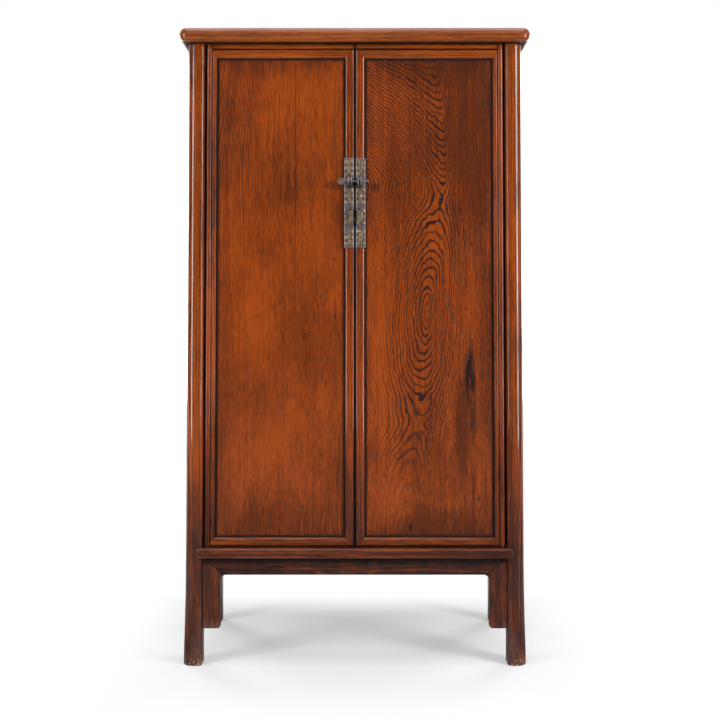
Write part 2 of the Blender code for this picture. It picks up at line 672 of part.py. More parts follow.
def build_door(side_name, side, sill, top_front):
    """A door of two stiles, two rails, a panel and two battens behind it."""
    origin = hinge_point(side, DOOR_BOTTOM)
    name = f"{side_name}_door"
    outline = pivot_stile_outline(side)
    look = "door_wood"
    pivot_stile = prism(f"{name}_pivot_stile", look, outline, "Z", DOOR_BOTTOM, DOOR_TOP, origin)
    add_pivots(pivot_stile, side, sill, top_front)
    outline = meeting_stile_outline(side)
    meeting = prism(f"{name}_meeting_stile", look, outline, "Z", DOOR_BOTTOM, DOOR_TOP, origin)
    rail_x = side_pair(side, MEETING_INNER + CLEARANCE, STILE_INNER - CLEARANCE)
    tenon_x = side_pair(side, MEETING_INNER - DOOR_TENON_LENGTH, STILE_INNER + DOOR_TENON_LENGTH)
    rails = []
    for level, outer, inner in (("top", DOOR_TOP, PANEL_TOP), ("bottom", DOOR_BOTTOM, PANEL_FOOT)):
        rail = prism(f"{name}_{level}_rail", look, door_rail_outline(outer, inner), "X", *rail_x, origin)
        middle = outer + math.copysign(DOOR_TENON_SETBACK, inner - outer)
        tenon_z = (middle - DOOR_TENON_HEIGHT / 2, middle + DOOR_TENON_HEIGHT / 2)
        tenon(rail.name, rail, (pivot_stile, meeting), tenon_x, (PANEL_FRONT, PANEL_BACK), tenon_z)
        rails.append(rail)
    panel_x = side_pair(side, MEETING_INNER - DOOR_TONGUE, STILE_INNER + DOOR_TONGUE)
    panel_y = (PANEL_FRONT, PANEL_BACK)
    panel_z = (PANEL_FOOT - DOOR_TONGUE, PANEL_TOP + DOOR_TONGUE)
    box(f"{name}_panel", look, panel_x, panel_y, panel_z, origin)
    groove = box(f"{name}_groove", None, grown(panel_x), grown(panel_y), grown(panel_z))
    cut(groove, pivot_stile, meeting, *rails)
    for index, fraction in enumerate(DOOR_BATTEN_FRACTIONS):
        middle = PANEL_FOOT + (PANEL_TOP - PANEL_FOOT) * fraction
        batten_z = (middle - DOOR_BATTEN_HEIGHT / 2, middle + DOOR_BATTEN_HEIGHT / 2)
        batten_y = (PANEL_BACK + CLEARANCE, DOOR_BACK)
        batten_name = f"{name}_{('lower', 'upper')[index]}_batten"
        box(batten_name, "inner_wood", rail_x, batten_y, batten_z, origin, bevel=EASED_EDGE)
    return meeting


def add_shank(item, centre, width, targets):
    """A square shank behind a fitting, driven through the plate into the stile."""
    xs = (centre[0] - width / 2, centre[0] + width / 2)
    zs = (centre[1] - width / 2, centre[1] + width / 2)
    depth = (LUG_BACK - PLATE_THICKNESS, PLATE_BACK + SHANK_LENGTH)
    tenon(item.name, item, targets, xs, depth, zs)


def build_fittings(side_name, side, meeting):
    """The face plate, the lock lug and the eye with its pull, on one meeting stile."""
    origin = hinge_point(side, DOOR_BOTTOM)
    plate_x = side_pair(side, MEETING_EDGE + PLATE_EDGE, MEETING_INNER - PLATE_EDGE)
    plate_z = (PLATE_BOTTOM, PLATE_BOTTOM + PLATE_HEIGHT)
    plate_y = (PLATE_FACE, PLATE_BACK)
    plate = box(f"{side_name}_face_plate", "aged_brass", plate_x, plate_y, plate_z, origin, bevel=PLATE_EDGE)

    lug_x = side_pair(side, MEETING_EDGE + LUG_OFFSET, MEETING_EDGE + LUG_OFFSET + LUG_WIDTH)
    radii = (LUG_CORNER, 0.0, 0.0, LUG_CORNER)
    outline = rounded((LUG_FRONT, LUG_BACK), (LUG_Z - LUG_HEIGHT / 2, LUG_Z + LUG_HEIGHT / 2), radii)
    lug = prism(f"{side_name}_lock_lug", "aged_brass", outline, "X", *lug_x, origin)
    add_shank(lug, (sum(lug_x) / 2, LUG_Z), SHANK_WIDTH, (plate, meeting))
    bore = circle((PIN_Y, LUG_Z), PIN_RADIUS + PIN_CLEARANCE)
    cut(prism(f"{side_name}_lug_bore", None, bore, "X", *grown(lug_x, CUT_MARGIN)), lug)

    eye_x = side * PULL_X
    eye_y = (PULL_Y - EYE_RADIUS, PLATE_FACE - CLEARANCE)
    half_eye = EYE_WIDTH / 2
    radii = (EYE_CORNER, 0.0, 0.0, EYE_CORNER)
    outline = rounded(eye_y, (PULL_Z - EYE_RADIUS, PULL_Z + EYE_RADIUS), radii)
    eye_span = (eye_x - half_eye, eye_x + half_eye)
    eye = prism(f"{side_name}_pull_eye", "aged_brass", outline, "X", *eye_span, origin)
    add_shank(eye, (eye_x, PULL_Z), EYE_SHANK, (plate, meeting))
    bore = circle((PULL_Y, PULL_Z), PULL_AXLE_RADIUS + EYE_CLEARANCE)
    cut(prism(f"{side_name}_eye_bore", None, bore, "X", eye_x - CUT_MARGIN, eye_x + CUT_MARGIN), eye)
    build_pull(side_name, eye_x, half_eye)


def build_pull(side_name, eye_x, half_eye):
    """A leaf-shaped pendant that hangs by two ears and an axle from its eye."""
    origin = lean((eye_x, PULL_Y, PULL_Z))
    half = PULL_WIDTH / 2
    shoulder = PULL_Z - EYE_RADIUS - EYE_CLEARANCE
    foot = PULL_Z - PULL_LENGTH
    belly = foot + PULL_BELLY_RISE
    points = [(eye_x + PULL_SHOULDER / 2, shoulder), (eye_x + PULL_WAIST / 2, shoulder - PULL_WAIST_DROP)]
    points += [
        (eye_x + half * math.cos(angle), belly + (belly - foot) * math.sin(angle))
        for angle in (math.radians(turn) for turn in range(0, -90, -15))
    ]
    mirrored = [(2 * eye_x - x, z) for x, z in reversed(points)]
    outline = points + [(eye_x, foot)] + mirrored
    depth = (PULL_Y - PULL_THICKNESS / 2, PULL_Y + PULL_THICKNESS / 2)
    pull = prism(f"{side_name}_pull", "aged_brass", outline, "Y", *depth, origin)
    inner = half_eye + EYE_CLEARANCE
    ear_z = (shoulder - PULL_EAR_ROOT, PULL_Z + PULL_EAR_TOP)
    for index, side in enumerate((-1, 1)):
        ear_x = (eye_x + side * inner, eye_x + side * (inner + PULL_EAR_WIDTH))
        ear_y = grown(depth, -CLEARANCE)
        join(box(f"{pull.name}_ear_{index}", None, ear_x, ear_y, ear_z), pull)
    ends = (eye_x - inner - PULL_EAR_WIDTH / 2, eye_x + inner + PULL_EAR_WIDTH / 2)
    axle = circle((PULL_Y, PULL_Z), PULL_AXLE_RADIUS)
    join(prism(f"{pull.name}_axle", None, axle, "X", *ends), pull)


def build_lock_pin():
    """The pin through both lugs, with a collar and a flat leaf head at its left end."""
    lug_outer = -(MEETING_EDGE + LUG_OFFSET + LUG_WIDTH)
    collar_end = lug_outer - PIN_CLEARANCE
    collar_start = collar_end - PIN_COLLAR_LENGTH
    tip = collar_start - PIN_HEAD_LENGTH
    origin = lean((0.0, PIN_Y, LUG_Z))
    centre = (PIN_Y, LUG_Z)
    rod = circle(centre, PIN_RADIUS)
    pin = prism("lock_pin", "aged_brass", rod, "X", collar_start + CLEARANCE, PIN_TIP, origin)
    collar = circle(centre, PIN_COLLAR_RADIUS)
    join(prism("pin_collar", None, collar, "X", collar_start, collar_end), pin)
    half = PIN_HEAD_HEIGHT / 2
    head_root = collar_start + PIN_HEAD_ROOT
    belly = collar_start - PIN_HEAD_BELLY
    upper = [
        (belly + (head_root - belly) * math.cos(angle), LUG_Z + half * math.sin(angle))
        for angle in (math.radians(turn) for turn in range(20, 100, 20))
    ]
    upper.append(((belly + tip) / 2, LUG_Z + PIN_HEAD_POINT / 2))
    outline = upper + [(tip, LUG_Z)] + [(x, 2 * LUG_Z - z) for x, z in reversed(upper)]
    depth = (PIN_Y - PIN_HEAD_THICKNESS / 2, PIN_Y + PIN_HEAD_THICKNESS / 2)
    join(prism("pin_head", None, outline, "Y", *depth), pin)


def build_cabinet():
    """Every piece of the cabinet."""
    top_rails = build_top()
    posts = build_posts(top_rails)
    lower_rails = build_lower_frame(posts)
    build_walls(posts, top_rails, lower_rails)
    build_shelves()
    build_aprons()
    strip_end = AXIS_X - BAND_RADIUS - PIVOT_CLEARANCE
    strip_y = (DOOR_FACE, DOOR_BACK)
    strip_z = (STRIP_BOTTOM, TOP_UNDERSIDE - CLEARANCE)
    box("door_head_strip", "frame_wood", (-strip_end, strip_end), strip_y, strip_z)
    for side_name, side in SIDES:
        meeting = build_door(side_name, side, lower_rails["front"], top_rails["front"])
        build_fittings(side_name, side, meeting)
    build_lock_pin()


build_cabinet()
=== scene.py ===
import math

import bmesh
import bpy
from bpy.props import FloatProperty, FloatVectorProperty, IntProperty, PointerProperty
from mathutils import Matrix, Vector, noise


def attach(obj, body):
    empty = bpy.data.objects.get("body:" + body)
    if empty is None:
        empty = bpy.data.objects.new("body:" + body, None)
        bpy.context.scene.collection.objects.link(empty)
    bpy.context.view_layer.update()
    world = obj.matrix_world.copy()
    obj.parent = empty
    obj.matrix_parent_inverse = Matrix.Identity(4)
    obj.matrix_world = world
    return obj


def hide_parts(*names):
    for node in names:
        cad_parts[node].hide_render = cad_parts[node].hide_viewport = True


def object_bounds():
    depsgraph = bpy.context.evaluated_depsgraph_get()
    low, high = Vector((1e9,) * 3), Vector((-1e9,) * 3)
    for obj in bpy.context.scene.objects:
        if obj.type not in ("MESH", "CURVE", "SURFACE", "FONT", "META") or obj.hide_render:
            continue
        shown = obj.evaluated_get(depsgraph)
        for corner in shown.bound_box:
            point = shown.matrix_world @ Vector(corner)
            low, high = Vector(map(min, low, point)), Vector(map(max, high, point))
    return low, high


bl_info = {
    "name": "Tapered Cabinet",
    "version": (1, 0, 0),
    "blender": (4, 5, 0),
    "location": "View3D > Sidebar > Cabinet",
    "description": "Dresses the tapered two-door cabinet with its wood, mouldings and brass",
    "category": "Object",
}

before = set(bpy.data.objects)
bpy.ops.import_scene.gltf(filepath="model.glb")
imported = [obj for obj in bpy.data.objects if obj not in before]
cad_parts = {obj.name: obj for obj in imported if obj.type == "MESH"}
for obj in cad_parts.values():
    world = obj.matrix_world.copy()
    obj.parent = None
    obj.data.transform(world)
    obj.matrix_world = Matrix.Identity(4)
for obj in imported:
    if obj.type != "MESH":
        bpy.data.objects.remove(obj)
CAD_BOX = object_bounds()

# Main sizes of the cabinet in metres, in its upright layout before the taper
TOP_HALF_WIDTH, TOP_HALF_DEPTH, HEIGHT = (round(size, 4) for size in CAD_BOX[1])
TOP_THICKNESS = 0.038
TOP_UNDERSIDE = HEIGHT - TOP_THICKNESS
TOP_RAIL_WIDTH = 0.076
TOP_PANEL_THICKNESS = 0.012
TAPER = 0.020
GAP = 0.0003

# Posts
SIDE_OVERHANG = 0.021
FRONT_OVERHANG = 0.030
HALF_WIDTH = TOP_HALF_WIDTH - SIDE_OVERHANG
HALF_DEPTH = TOP_HALF_DEPTH - FRONT_OVERHANG
POST_SIZE = 0.049
POST_INNER_X = HALF_WIDTH - POST_SIZE
POST_INNER_Y = HALF_DEPTH - POST_SIZE
FOOT_SPLAY_HEIGHT = 0.30
FOOT_CHIP_HEIGHT = 0.012
FOOT_CHIP_DEPTH = 0.0012

# Sill, ledge, lower rails and aprons
SILL_TOP = 0.334
SILL_THICKNESS = 0.018
SILL_BOTTOM = SILL_TOP - SILL_THICKNESS
SILL_INNER_Y = -0.150
LEDGE_LAP = 0.0175
LEDGE_REACH = POST_INNER_X + LEDGE_LAP
LEDGE_FRONT = -HALF_DEPTH - 0.015
LEDGE_BOTTOM = SILL_BOTTOM - 0.0105
LEDGE_CORNER = 0.011
LEDGE_WEAR = 0.0012
LEDGE_WEAR_LENGTH = 0.012
SIDE_RAIL_SINK = 0.008
SIDE_RAIL_INSET = 0.005
BACK_RAIL_SINK = 0.008
BACK_RAIL_DEPTH = 0.055
APRON_HEIGHT = 0.060
APRON_THICKNESS = 0.016
APRON_SINK = 0.007
SPANDREL_WIDTH = 0.051
SPANDREL_DROP = 0.212
SPANDREL_CORNER = 0.010

# Walls
WALL_THICKNESS = 0.010
WALL_TONGUE = 0.004
WALL_GROOVE = 0.002
SIDE_WALL_SINK = 0.009
BACK_WALL_SINK = 0.014
MUNTIN_HALF_WIDTH = 0.022
MUNTIN_THICKNESS = 0.022
MUNTIN_GROOVE = 0.006

# Doors
DOOR_RECESS = 0.0095
DOOR_THICKNESS = 0.030
DOOR_FACE = -HALF_DEPTH + DOOR_RECESS
DOOR_BACK = DOOR_FACE + DOOR_THICKNESS
DOOR_GAP = 0.003
DOOR_BOTTOM = SILL_TOP + DOOR_GAP
STRIP_HEIGHT = 0.0125
STRIP_ROUND = 0.0030
STRIP_BOTTOM = TOP_UNDERSIDE - STRIP_HEIGHT
DOOR_TOP = STRIP_BOTTOM - DOOR_GAP
POST_GAP = 0.0035
BAND_RADIUS = 0.0087
AXIS_X = POST_INNER_X - POST_GAP - BAND_RADIUS
AXIS_Y = DOOR_FACE + BAND_RADIUS
BAND_EDGE = AXIS_X - BAND_RADIUS
PIVOT_STILE_WIDTH = 0.034
STILE_INNER = POST_INNER_X - POST_GAP - PIVOT_STILE_WIDTH
PIVOT_RADIUS = 0.0060
MEETING_EDGE = DOOR_GAP / 2
MEETING_STILE_WIDTH = 0.0295
MEETING_INNER = MEETING_EDGE + MEETING_STILE_WIDTH
PANEL_SINK = 0.007
PANEL_THICKNESS = 0.010
PANEL_TONGUE = 0.004
PANEL_FRONT = DOOR_FACE + PANEL_SINK
PANEL_BACK = PANEL_FRONT + PANEL_THICKNESS
PANEL_FOOT = DOOR_BOTTOM + 0.027
PANEL_TOP = DOOR_TOP - 0.028
BORDER_WIDTH = 0.0042
CROWN_FALL = 0.0036

# Brass fittings
PLATE_BOTTOM = 1.183
PLATE_HEIGHT = 0.254
PLATE_THICKNESS = 0.002
PLATE_MARGIN = 0.0006
PLATE_BACK = DOOR_FACE - GAP
PLATE_FACE = PLATE_BACK - PLATE_THICKNESS
# Lowest lines of the four scrolled fields of a face plate, above its lower edge
PLATE_FIELDS = (0.006, 0.065, 0.124, 0.203)
FIELD_HEIGHT = 0.047
FIELD_MIDDLE = 0.0143
LUG_Z = 1.3697
LUG_FRONT = PLATE_FACE - 0.0203
LUG_HALF_HEIGHT = 0.011
LUG_ROUND = 0.0070
LUG_BORE = 0.0034
PIN_Y = LUG_FRONT + 0.008
PIN_SHOULDER = -0.0282
PULL_X = 0.013
PULL_Y = PLATE_FACE - 0.0083
PULL_Z = 1.2922
FITTING_SEAT = 0.0004

SIDES = (("left", -1), ("right", 1))
# The two directions of an outline and the direction in which it is drawn out
DIRECTIONS = {"X": (1, 2, 0), "Y": (0, 2, 1), "Z": (0, 1, 2)}
CUT_TOLERANCE = 1e-7
MERGE_DISTANCE = 1e-6


class CabinetSizes(bpy.types.PropertyGroup):
    """Sizes of the worked edges and mouldings."""

    arris: FloatProperty(
        name="Arris", description="Width of the eased edges", default=0.0014, unit="LENGTH"
    )
    wander: FloatProperty(
        name="Wander", description="Unevenness left by hand planing", default=0.0004, unit="LENGTH"
    )
    post_round: FloatProperty(
        name="Post round", description="Radius of a post's outer corner", default=0.027, unit="LENGTH"
    )
    post_inner_round: FloatProperty(
        name="Post inner round", description="Radius beside the doors", default=0.012, unit="LENGTH"
    )
    foot_wear: FloatProperty(
        name="Foot wear", description="Rounding of the worn feet", default=0.006, unit="LENGTH"
    )
    foot_splay: FloatProperty(
        name="Foot splay", description="Outward sweep of the feet", default=0.0055, unit="LENGTH"
    )
    top_corner: FloatProperty(
        name="Top corner", description="Plan radius of the top's corners", default=0.025, unit="LENGTH"
    )
    ledge_round: FloatProperty(
        name="Ledge round", description="Radius of the ledge's nose", default=0.0070, unit="LENGTH"
    )
    apron_fillet: FloatProperty(
        name="Apron fillet", description="Fillet between apron and spandrel", default=0.015, unit="LENGTH"
    )
    relief: FloatProperty(
        name="Relief", description="Height of the scrolls on the brass", default=0.0009, unit="LENGTH"
    )
    cuts: IntProperty(
        name="Cuts", description="Lengths into which a long piece is divided", default=36, min=2
    )


class CabinetFinish(bpy.types.PropertyGroup):
    """Colours and gloss of the finishes."""

    door_light: FloatVectorProperty(
        name="Door light", description="Pale growth of the door wood", subtype="COLOR",
        default=(0.396, 0.067, 0.0040), min=0.0, max=1.0,
    )
    door_deep: FloatVectorProperty(
        name="Door deep", description="Deep tone of the door wood", subtype="COLOR",
        default=(0.122, 0.0240, 0.0045), min=0.0, max=1.0,
    )
    door_line: FloatVectorProperty(
        name="Door line", description="Dark growth rings of the door wood", subtype="COLOR",
        default=(0.024, 0.0125, 0.0120), min=0.0, max=1.0,
    )
    rail_light: FloatVectorProperty(
        name="Rail light", description="Pale growth of the door rails", subtype="COLOR",
        default=(0.450, 0.088, 0.0060), min=0.0, max=1.0,
    )
    rail_deep: FloatVectorProperty(
        name="Rail deep", description="Deep tone of the door rails", subtype="COLOR",
        default=(0.185, 0.034, 0.0070), min=0.0, max=1.0,
    )
    rail_line: FloatVectorProperty(
        name="Rail line", description="Dark growth rings of the door rails", subtype="COLOR",
        default=(0.016, 0.0075, 0.0065), min=0.0, max=1.0,
    )
    frame_light: FloatVectorProperty(
        name="Frame light", description="Pale growth of the frame wood", subtype="COLOR",
        default=(0.385, 0.072, 0.0065), min=0.0, max=1.0,
    )
    frame_deep: FloatVectorProperty(
        name="Frame deep", description="Deep tone of the frame wood", subtype="COLOR",
        default=(0.150, 0.030, 0.0070), min=0.0, max=1.0,
    )
    frame_line: FloatVectorProperty(
        name="Frame line", description="Dark growth rings of the frame wood", subtype="COLOR",
        default=(0.018, 0.0065, 0.0045), min=0.0, max=1.0,
    )
    top_light: FloatVectorProperty(
        name="Top light", description="Pale growth of the top", subtype="COLOR",
        default=(0.400, 0.094, 0.0140), min=0.0, max=1.0,
    )
    top_deep: FloatVectorProperty(
        name="Top deep", description="Deep tone of the top", subtype="COLOR",
        default=(0.190, 0.041, 0.0090), min=0.0, max=1.0,
    )
    top_line: FloatVectorProperty(
        name="Top line", description="Dark growth rings of the top", subtype="COLOR",
        default=(0.060, 0.018, 0.0090), min=0.0, max=1.0,
    )
    inner_light: FloatVectorProperty(
        name="Inner light", description="Pale growth of the inner wood", subtype="COLOR",
        default=(0.340, 0.150, 0.060), min=0.0, max=1.0,
    )
    inner_deep: FloatVectorProperty(
        name="Inner deep", description="Deep tone of the inner wood", subtype="COLOR",
        default=(0.170, 0.066, 0.026), min=0.0, max=1.0,
    )
    inner_line: FloatVectorProperty(
        name="Inner line", description="Dark growth rings of the inner wood", subtype="COLOR",
        default=(0.060, 0.027, 0.014), min=0.0, max=1.0,
    )
    # Colour of old wax and dirt, also used for painted shade in the crevices, under the top and the ledge,
    # and on the brass
    grime: FloatVectorProperty(
        name="Grime", description="Old wax and dirt in the corners", subtype="COLOR",
        default=(0.012, 0.006, 0.005), min=0.0, max=1.0,
    )
    # Colour of dust low on the cabinet, also used for painted shade on the lower legs and on the apron
    # under the ledge
    dust: FloatVectorProperty(
        name="Dust", description="Grey-brown bloom on the legs and the apron", subtype="COLOR",
        default=(0.034, 0.0165, 0.0150), min=0.0, max=1.0,
    )
    worn: FloatVectorProperty(
        name="Worn edge", description="Bare wood on rubbed edges", subtype="COLOR",
        default=(0.400, 0.245, 0.150), min=0.0, max=1.0,
    )
    brass_bright: FloatVectorProperty(
        name="Brass bright", description="Rubbed tops of the brass relief", subtype="COLOR",
        default=(0.640, 0.465, 0.275), min=0.0, max=1.0,
    )
    brass_dull: FloatVectorProperty(
        name="Brass dull", description="Tarnish on the brass", subtype="COLOR",
        default=(0.235, 0.196, 0.204), min=0.0, max=1.0,
    )
    brass_gold: FloatVectorProperty(
        name="Brass gold", description="Golden ground among the scrolls", subtype="COLOR",
        default=(0.250, 0.146, 0.060), min=0.0, max=1.0,
    )
    brass_brown: FloatVectorProperty(
        name="Brass brown", description="Brown hollows of the brass", subtype="COLOR",
        default=(0.030, 0.016, 0.010), min=0.0, max=1.0,
    )


class StudioSettings(bpy.types.PropertyGroup):
    """Camera, lamps and floor."""

    lens: FloatProperty(name="Lens", description="Focal length in millimetres", default=51.5, min=1.0)
    distance: FloatProperty(
        name="Distance", description="From the camera to the middle of the cabinet",
        default=3.15, unit="LENGTH",
    )
    eye_height: FloatProperty(
        name="Eye height", description="Height of the camera", default=0.9750, unit="LENGTH"
    )
    aside: FloatProperty(
        name="Aside", description="Camera's place right of the middle", default=0.0147, unit="LENGTH"
    )
    shift: FloatProperty(name="Shift", description="Vertical lens shift", default=-0.0540)
    left_power: FloatProperty(
        name="Left lamp", description="Power of the left lamp", default=40.0, unit="POWER"
    )
    right_power: FloatProperty(
        name="Right lamp", description="Power of the right lamp", default=58.0, unit="POWER"
    )
    front_power: FloatProperty(
        name="Front lamp", description="Power of the front lamp", default=8.0, unit="POWER"
    )
    top_power: FloatProperty(
        name="Top lamp", description="Power of the top lamp", default=46.0, unit="POWER"
    )
    back_power: FloatProperty(
        name="Back lamps", description="Power of each back lamp", default=40.0, unit="POWER"
    )
    ambient: FloatProperty(
        name="Ambient", description="Strength of the surrounding light", default=0.10, min=0.0
    )
    floor_sheen: FloatProperty(
        name="Floor sheen", description="Brightness of the near floor mirrored in the finish",
        default=0.14, min=0.0,
    )
    room: FloatProperty(
        name="Room", description="Brightness of the room mirrored in the finish", default=0.02, min=0.0
    )


def sizes():
    """The sizes set for this scene."""
    return bpy.context.scene.cabinet_sizes


def finish_of():
    """The finishes set for this scene."""
    return bpy.context.scene.cabinet_finish


# Shapes

def lean(point):
    """Carry a point of the upright layout to its place on the tapered cabinet."""
    growth = 1.0 + TAPER * max(0.0, 1.0 - point[2] / TOP_UNDERSIDE)
    return Vector((point[0] * growth, point[1] * growth, point[2]))


def face_from(corners, along, at):
    """A flat face from a few corners (across, up, radius), each corner rounded where it has a radius."""
    first, second, third = DIRECTIONS[along]
    bm = bmesh.new()
    ring = []
    for corner in corners:
        point = Vector()
        point[first] = corner[0]
        point[second] = corner[1]
        point[third] = at
        ring.append(bm.verts.new(point))
    bm.faces.new(ring)
    for vert, corner in zip(ring, corners):
        if len(corner) > 2 and corner[2]:
            bmesh.ops.bevel(
                bm, geom=[vert], offset=corner[2], offset_type="OFFSET", segments=6,
                profile=0.5, affect="VERTICES", material=-1,
            )
    return bm


def draw_out(bm, along, length):
    """Draw the face of a shape out along an axis."""
    drawn = bmesh.ops.extrude_face_region(bm, geom=bm.faces[:])["geom"]
    travel = Vector()
    travel[DIRECTIONS[along][2]] = length
    moved = [part for part in drawn if isinstance(part, bmesh.types.BMVert)]
    bmesh.ops.translate(bm, verts=moved, vec=travel)
    bmesh.ops.recalc_face_normals(bm, faces=bm.faces[:])
    return bm


def bar(corners, along, low, high):
    """A closed outline drawn out between two places along an axis."""
    return draw_out(face_from(corners, along, low), along, high - low)


def block(xs, ys, zs):
    """A block between pairs of faces."""
    low = Vector(map(min, (xs, ys, zs)))
    high = Vector(map(max, (xs, ys, zs)))
    bm = bmesh.new()
    size = Matrix.Diagonal((high - low).to_4d())
    bmesh.ops.create_cube(bm, size=1.0, matrix=Matrix.Translation((low + high) / 2) @ size)
    return bm


def ease(bm, width, segments=2, least=0.6, chosen=None):
    """Ease the sharp edges of a shape and mark the new faces as its arrises."""
    edges = chosen
    if edges is None:
        edges = [edge for edge in bm.edges if edge.is_manifold and edge.calc_face_angle(0.0) > least]
    made = bmesh.ops.bevel(
        bm, geom=edges, offset=width, offset_type="OFFSET", segments=segments,
        profile=0.5, affect="EDGES", clamp_overlap=True, material=-1,
    )
    layer = bm.faces.layers.float.get("arris") or bm.faces.layers.float.new("arris")
    for face in made["faces"]:
        if face.is_valid:
            face[layer] = 1.0
    return bm


def cut_at(bm, axis, places):
    """Cut a shape at places along an axis."""
    facing = Vector()
    facing[axis] = 1.0
    for at in places:
        geom = bm.verts[:] + bm.edges[:] + bm.faces[:]
        bmesh.ops.bisect_plane(
            bm, geom=geom, dist=CUT_TOLERANCE, plane_co=facing * at, plane_no=facing
        )


def divide(bm, along, cuts):
    """Cut a long shape into lengths."""
    axis = DIRECTIONS[along][2]
    low = min(vert.co[axis] for vert in bm.verts)
    high = max(vert.co[axis] for vert in bm.verts)
    cut_at(bm, axis, [low + (high - low) * index / cuts for index in range(1, cuts)])


def trim(bm, spot, facing):
    """Cut away what lies beyond a plane and close the cut."""
    geom = bm.verts[:] + bm.edges[:] + bm.faces[:]
    made = bmesh.ops.bisect_plane(
        bm, geom=geom, dist=CUT_TOLERANCE, plane_co=spot, plane_no=facing, clear_outer=True
    )
    rim = [part for part in made["geom_cut"] if isinstance(part, bmesh.types.BMEdge)]
    bmesh.ops.contextual_create(bm, geom=rim)


def wander(bm, amount, seed, scale=2.2):
    """Press the surface in here and there by less than the unevenness of hand planing."""
    bm.normal_update()
    start = Vector((seed, 0.37 * seed, 0.0))
    shifts = []
    for vert in bm.verts:
        spot = Vector((vert.co.x * 6.0, vert.co.y * 6.0, vert.co.z * scale)) + start
        shifts.append((vert, vert.normal * amount * (noise.noise(spot) * 0.6 - 0.5)))
    for vert, shift in shifts:
        vert.co += shift


def add_to(bm, other):
    """Put a second shape into the same mesh."""
    spare = bpy.data.meshes.new("spare")
    other.to_mesh(spare)
    other.free()
    bm.from_mesh(spare)
    bpy.data.meshes.remove(spare)


def place(bm, name, body, nodes, material, side=1, leaning=True, sharp=0.7):
    """Lean a finished shape, make it an object and let it stand for its CAD nodes."""
    if side < 0:
        bmesh.ops.transform(bm, matrix=Matrix.Diagonal((-1.0, 1.0, 1.0, 1.0)), verts=bm.verts[:])
    if leaning:
        for vert in bm.verts:
            vert.co = lean(vert.co)
    bmesh.ops.recalc_face_normals(bm, faces=bm.faces[:])
    for face in bm.faces:
        face.smooth = True
    mesh = bpy.data.meshes.new(name)
    bm.to_mesh(mesh)
    bm.free()
    mesh.set_sharp_from_angle(angle=sharp)
    mesh.materials.append(material)
    piece = bpy.data.objects.new(name, mesh)
    bpy.context.scene.collection.objects.link(piece)
    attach(piece, body)
    for node in nodes:
        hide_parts(node)
    return piece


# Shader building

def feed(tree, socket, value):
    """Link a socket to another, or set its value."""
    if isinstance(value, bpy.types.NodeSocket):
        tree.links.new(value, socket)
    else:
        socket.default_value = value


def calc(tree, operation, *values, clamp=False):
    """A Math node's result."""
    item = tree.nodes.new("ShaderNodeMath")
    item.operation = operation
    item.use_clamp = clamp
    for socket, value in zip(item.inputs, values):
        feed(tree, socket, value)
    return item.outputs[0]


def step(tree, value, low, high, to_low=0.0, to_high=1.0):
    """A smooth step of a value from one level to another."""
    item = tree.nodes.new("ShaderNodeMapRange")
    item.interpolation_type = "SMOOTHSTEP"
    settings = {"Value": value, "From Min": low, "From Max": high, "To Min": to_low, "To Max": to_high}
    for key, setting in settings.items():
        feed(tree, item.inputs[key], setting)
    return item.outputs["Result"]


def blend(tree, factor, first, second, mode="MIX"):
    """Two colours mixed by a factor."""
    item = tree.nodes.new("ShaderNodeMix")
    item.data_type = "RGBA"
    item.blend_type = mode
    feed(tree, item.inputs[0], factor)
    feed(tree, item.inputs[6], first)
    feed(tree, item.inputs[7], second)
    return item.outputs[2]


def lerp(tree, factor, first, second):
    """Two numbers mixed by a factor."""
    item = tree.nodes.new("ShaderNodeMix")
    feed(tree, item.inputs[0], factor)
    feed(tree, item.inputs[2], first)
    feed(tree, item.inputs[3], second)
    return item.outputs[0]


def mottle(tree, vector, stretch, detail=2.0, roughness=0.5, offset=(0.0, 0.0, 0.0)):
    """Noise whose cells are stretched along the axes."""
    mapping = tree.nodes.new("ShaderNodeMapping")
    mapping.inputs["Scale"].default_value = stretch
    mapping.inputs["Location"].default_value = offset
    feed(tree, mapping.inputs["Vector"], vector)
    item = tree.nodes.new("ShaderNodeTexNoise")
    item.inputs["Scale"].default_value = 1.0
    item.inputs["Detail"].default_value = detail
    item.inputs["Roughness"].default_value = roughness
    tree.links.new(mapping.outputs["Vector"], item.inputs["Vector"])
    return item.outputs["Fac"]


def curve(tree, value, points):
    """A Float Curve through these points."""
    item = tree.nodes.new("ShaderNodeFloatCurve")
    line = item.mapping.curves[0]
    while len(line.points) < len(points):
        line.points.new(0.5, 0.5)
    for knot, (at, level, *kind) in zip(line.points, points):
        knot.location = (at, level)
        knot.handle_type = kind[0] if kind else "AUTO"
    item.mapping.update()
    feed(tree, item.inputs["Value"], value)
    return item.outputs["Value"]


def split(tree, vector):
    """The three coordinates of a vector."""
    item = tree.nodes.new("ShaderNodeSeparateXYZ")
    feed(tree, item.inputs["Vector"], vector)
    return item.outputs["X"], item.outputs["Y"], item.outputs["Z"]


def distance(tree, across, up):
    """Length of a slanting line over its two legs."""
    squares = calc(tree, "ADD", calc(tree, "POWER", across, 2.0), calc(tree, "POWER", up, 2.0))
    return calc(tree, "SQRT", squares)


def attribute(tree, name):
    """A value stored on a piece's mesh."""
    item = tree.nodes.new("ShaderNodeAttribute")
    item.attribute_name = name
    return item.outputs["Fac"]


def new_group(name, inputs, outputs):
    """An empty shader group with named sockets, given as (name, kind, default)."""
    tree = bpy.data.node_groups.new(name, "ShaderNodeTree")
    for label, kind, default in inputs:
        socket = tree.interface.new_socket(label, in_out="INPUT", socket_type=f"NodeSocket{kind}")
        if default is not None:
            socket.default_value = default
    for label, kind in outputs:
        tree.interface.new_socket(label, in_out="OUTPUT", socket_type=f"NodeSocket{kind}")
    source = tree.nodes.new("NodeGroupInput")
    result = tree.nodes.new("NodeGroupOutput")
    return tree, source.outputs, result.inputs


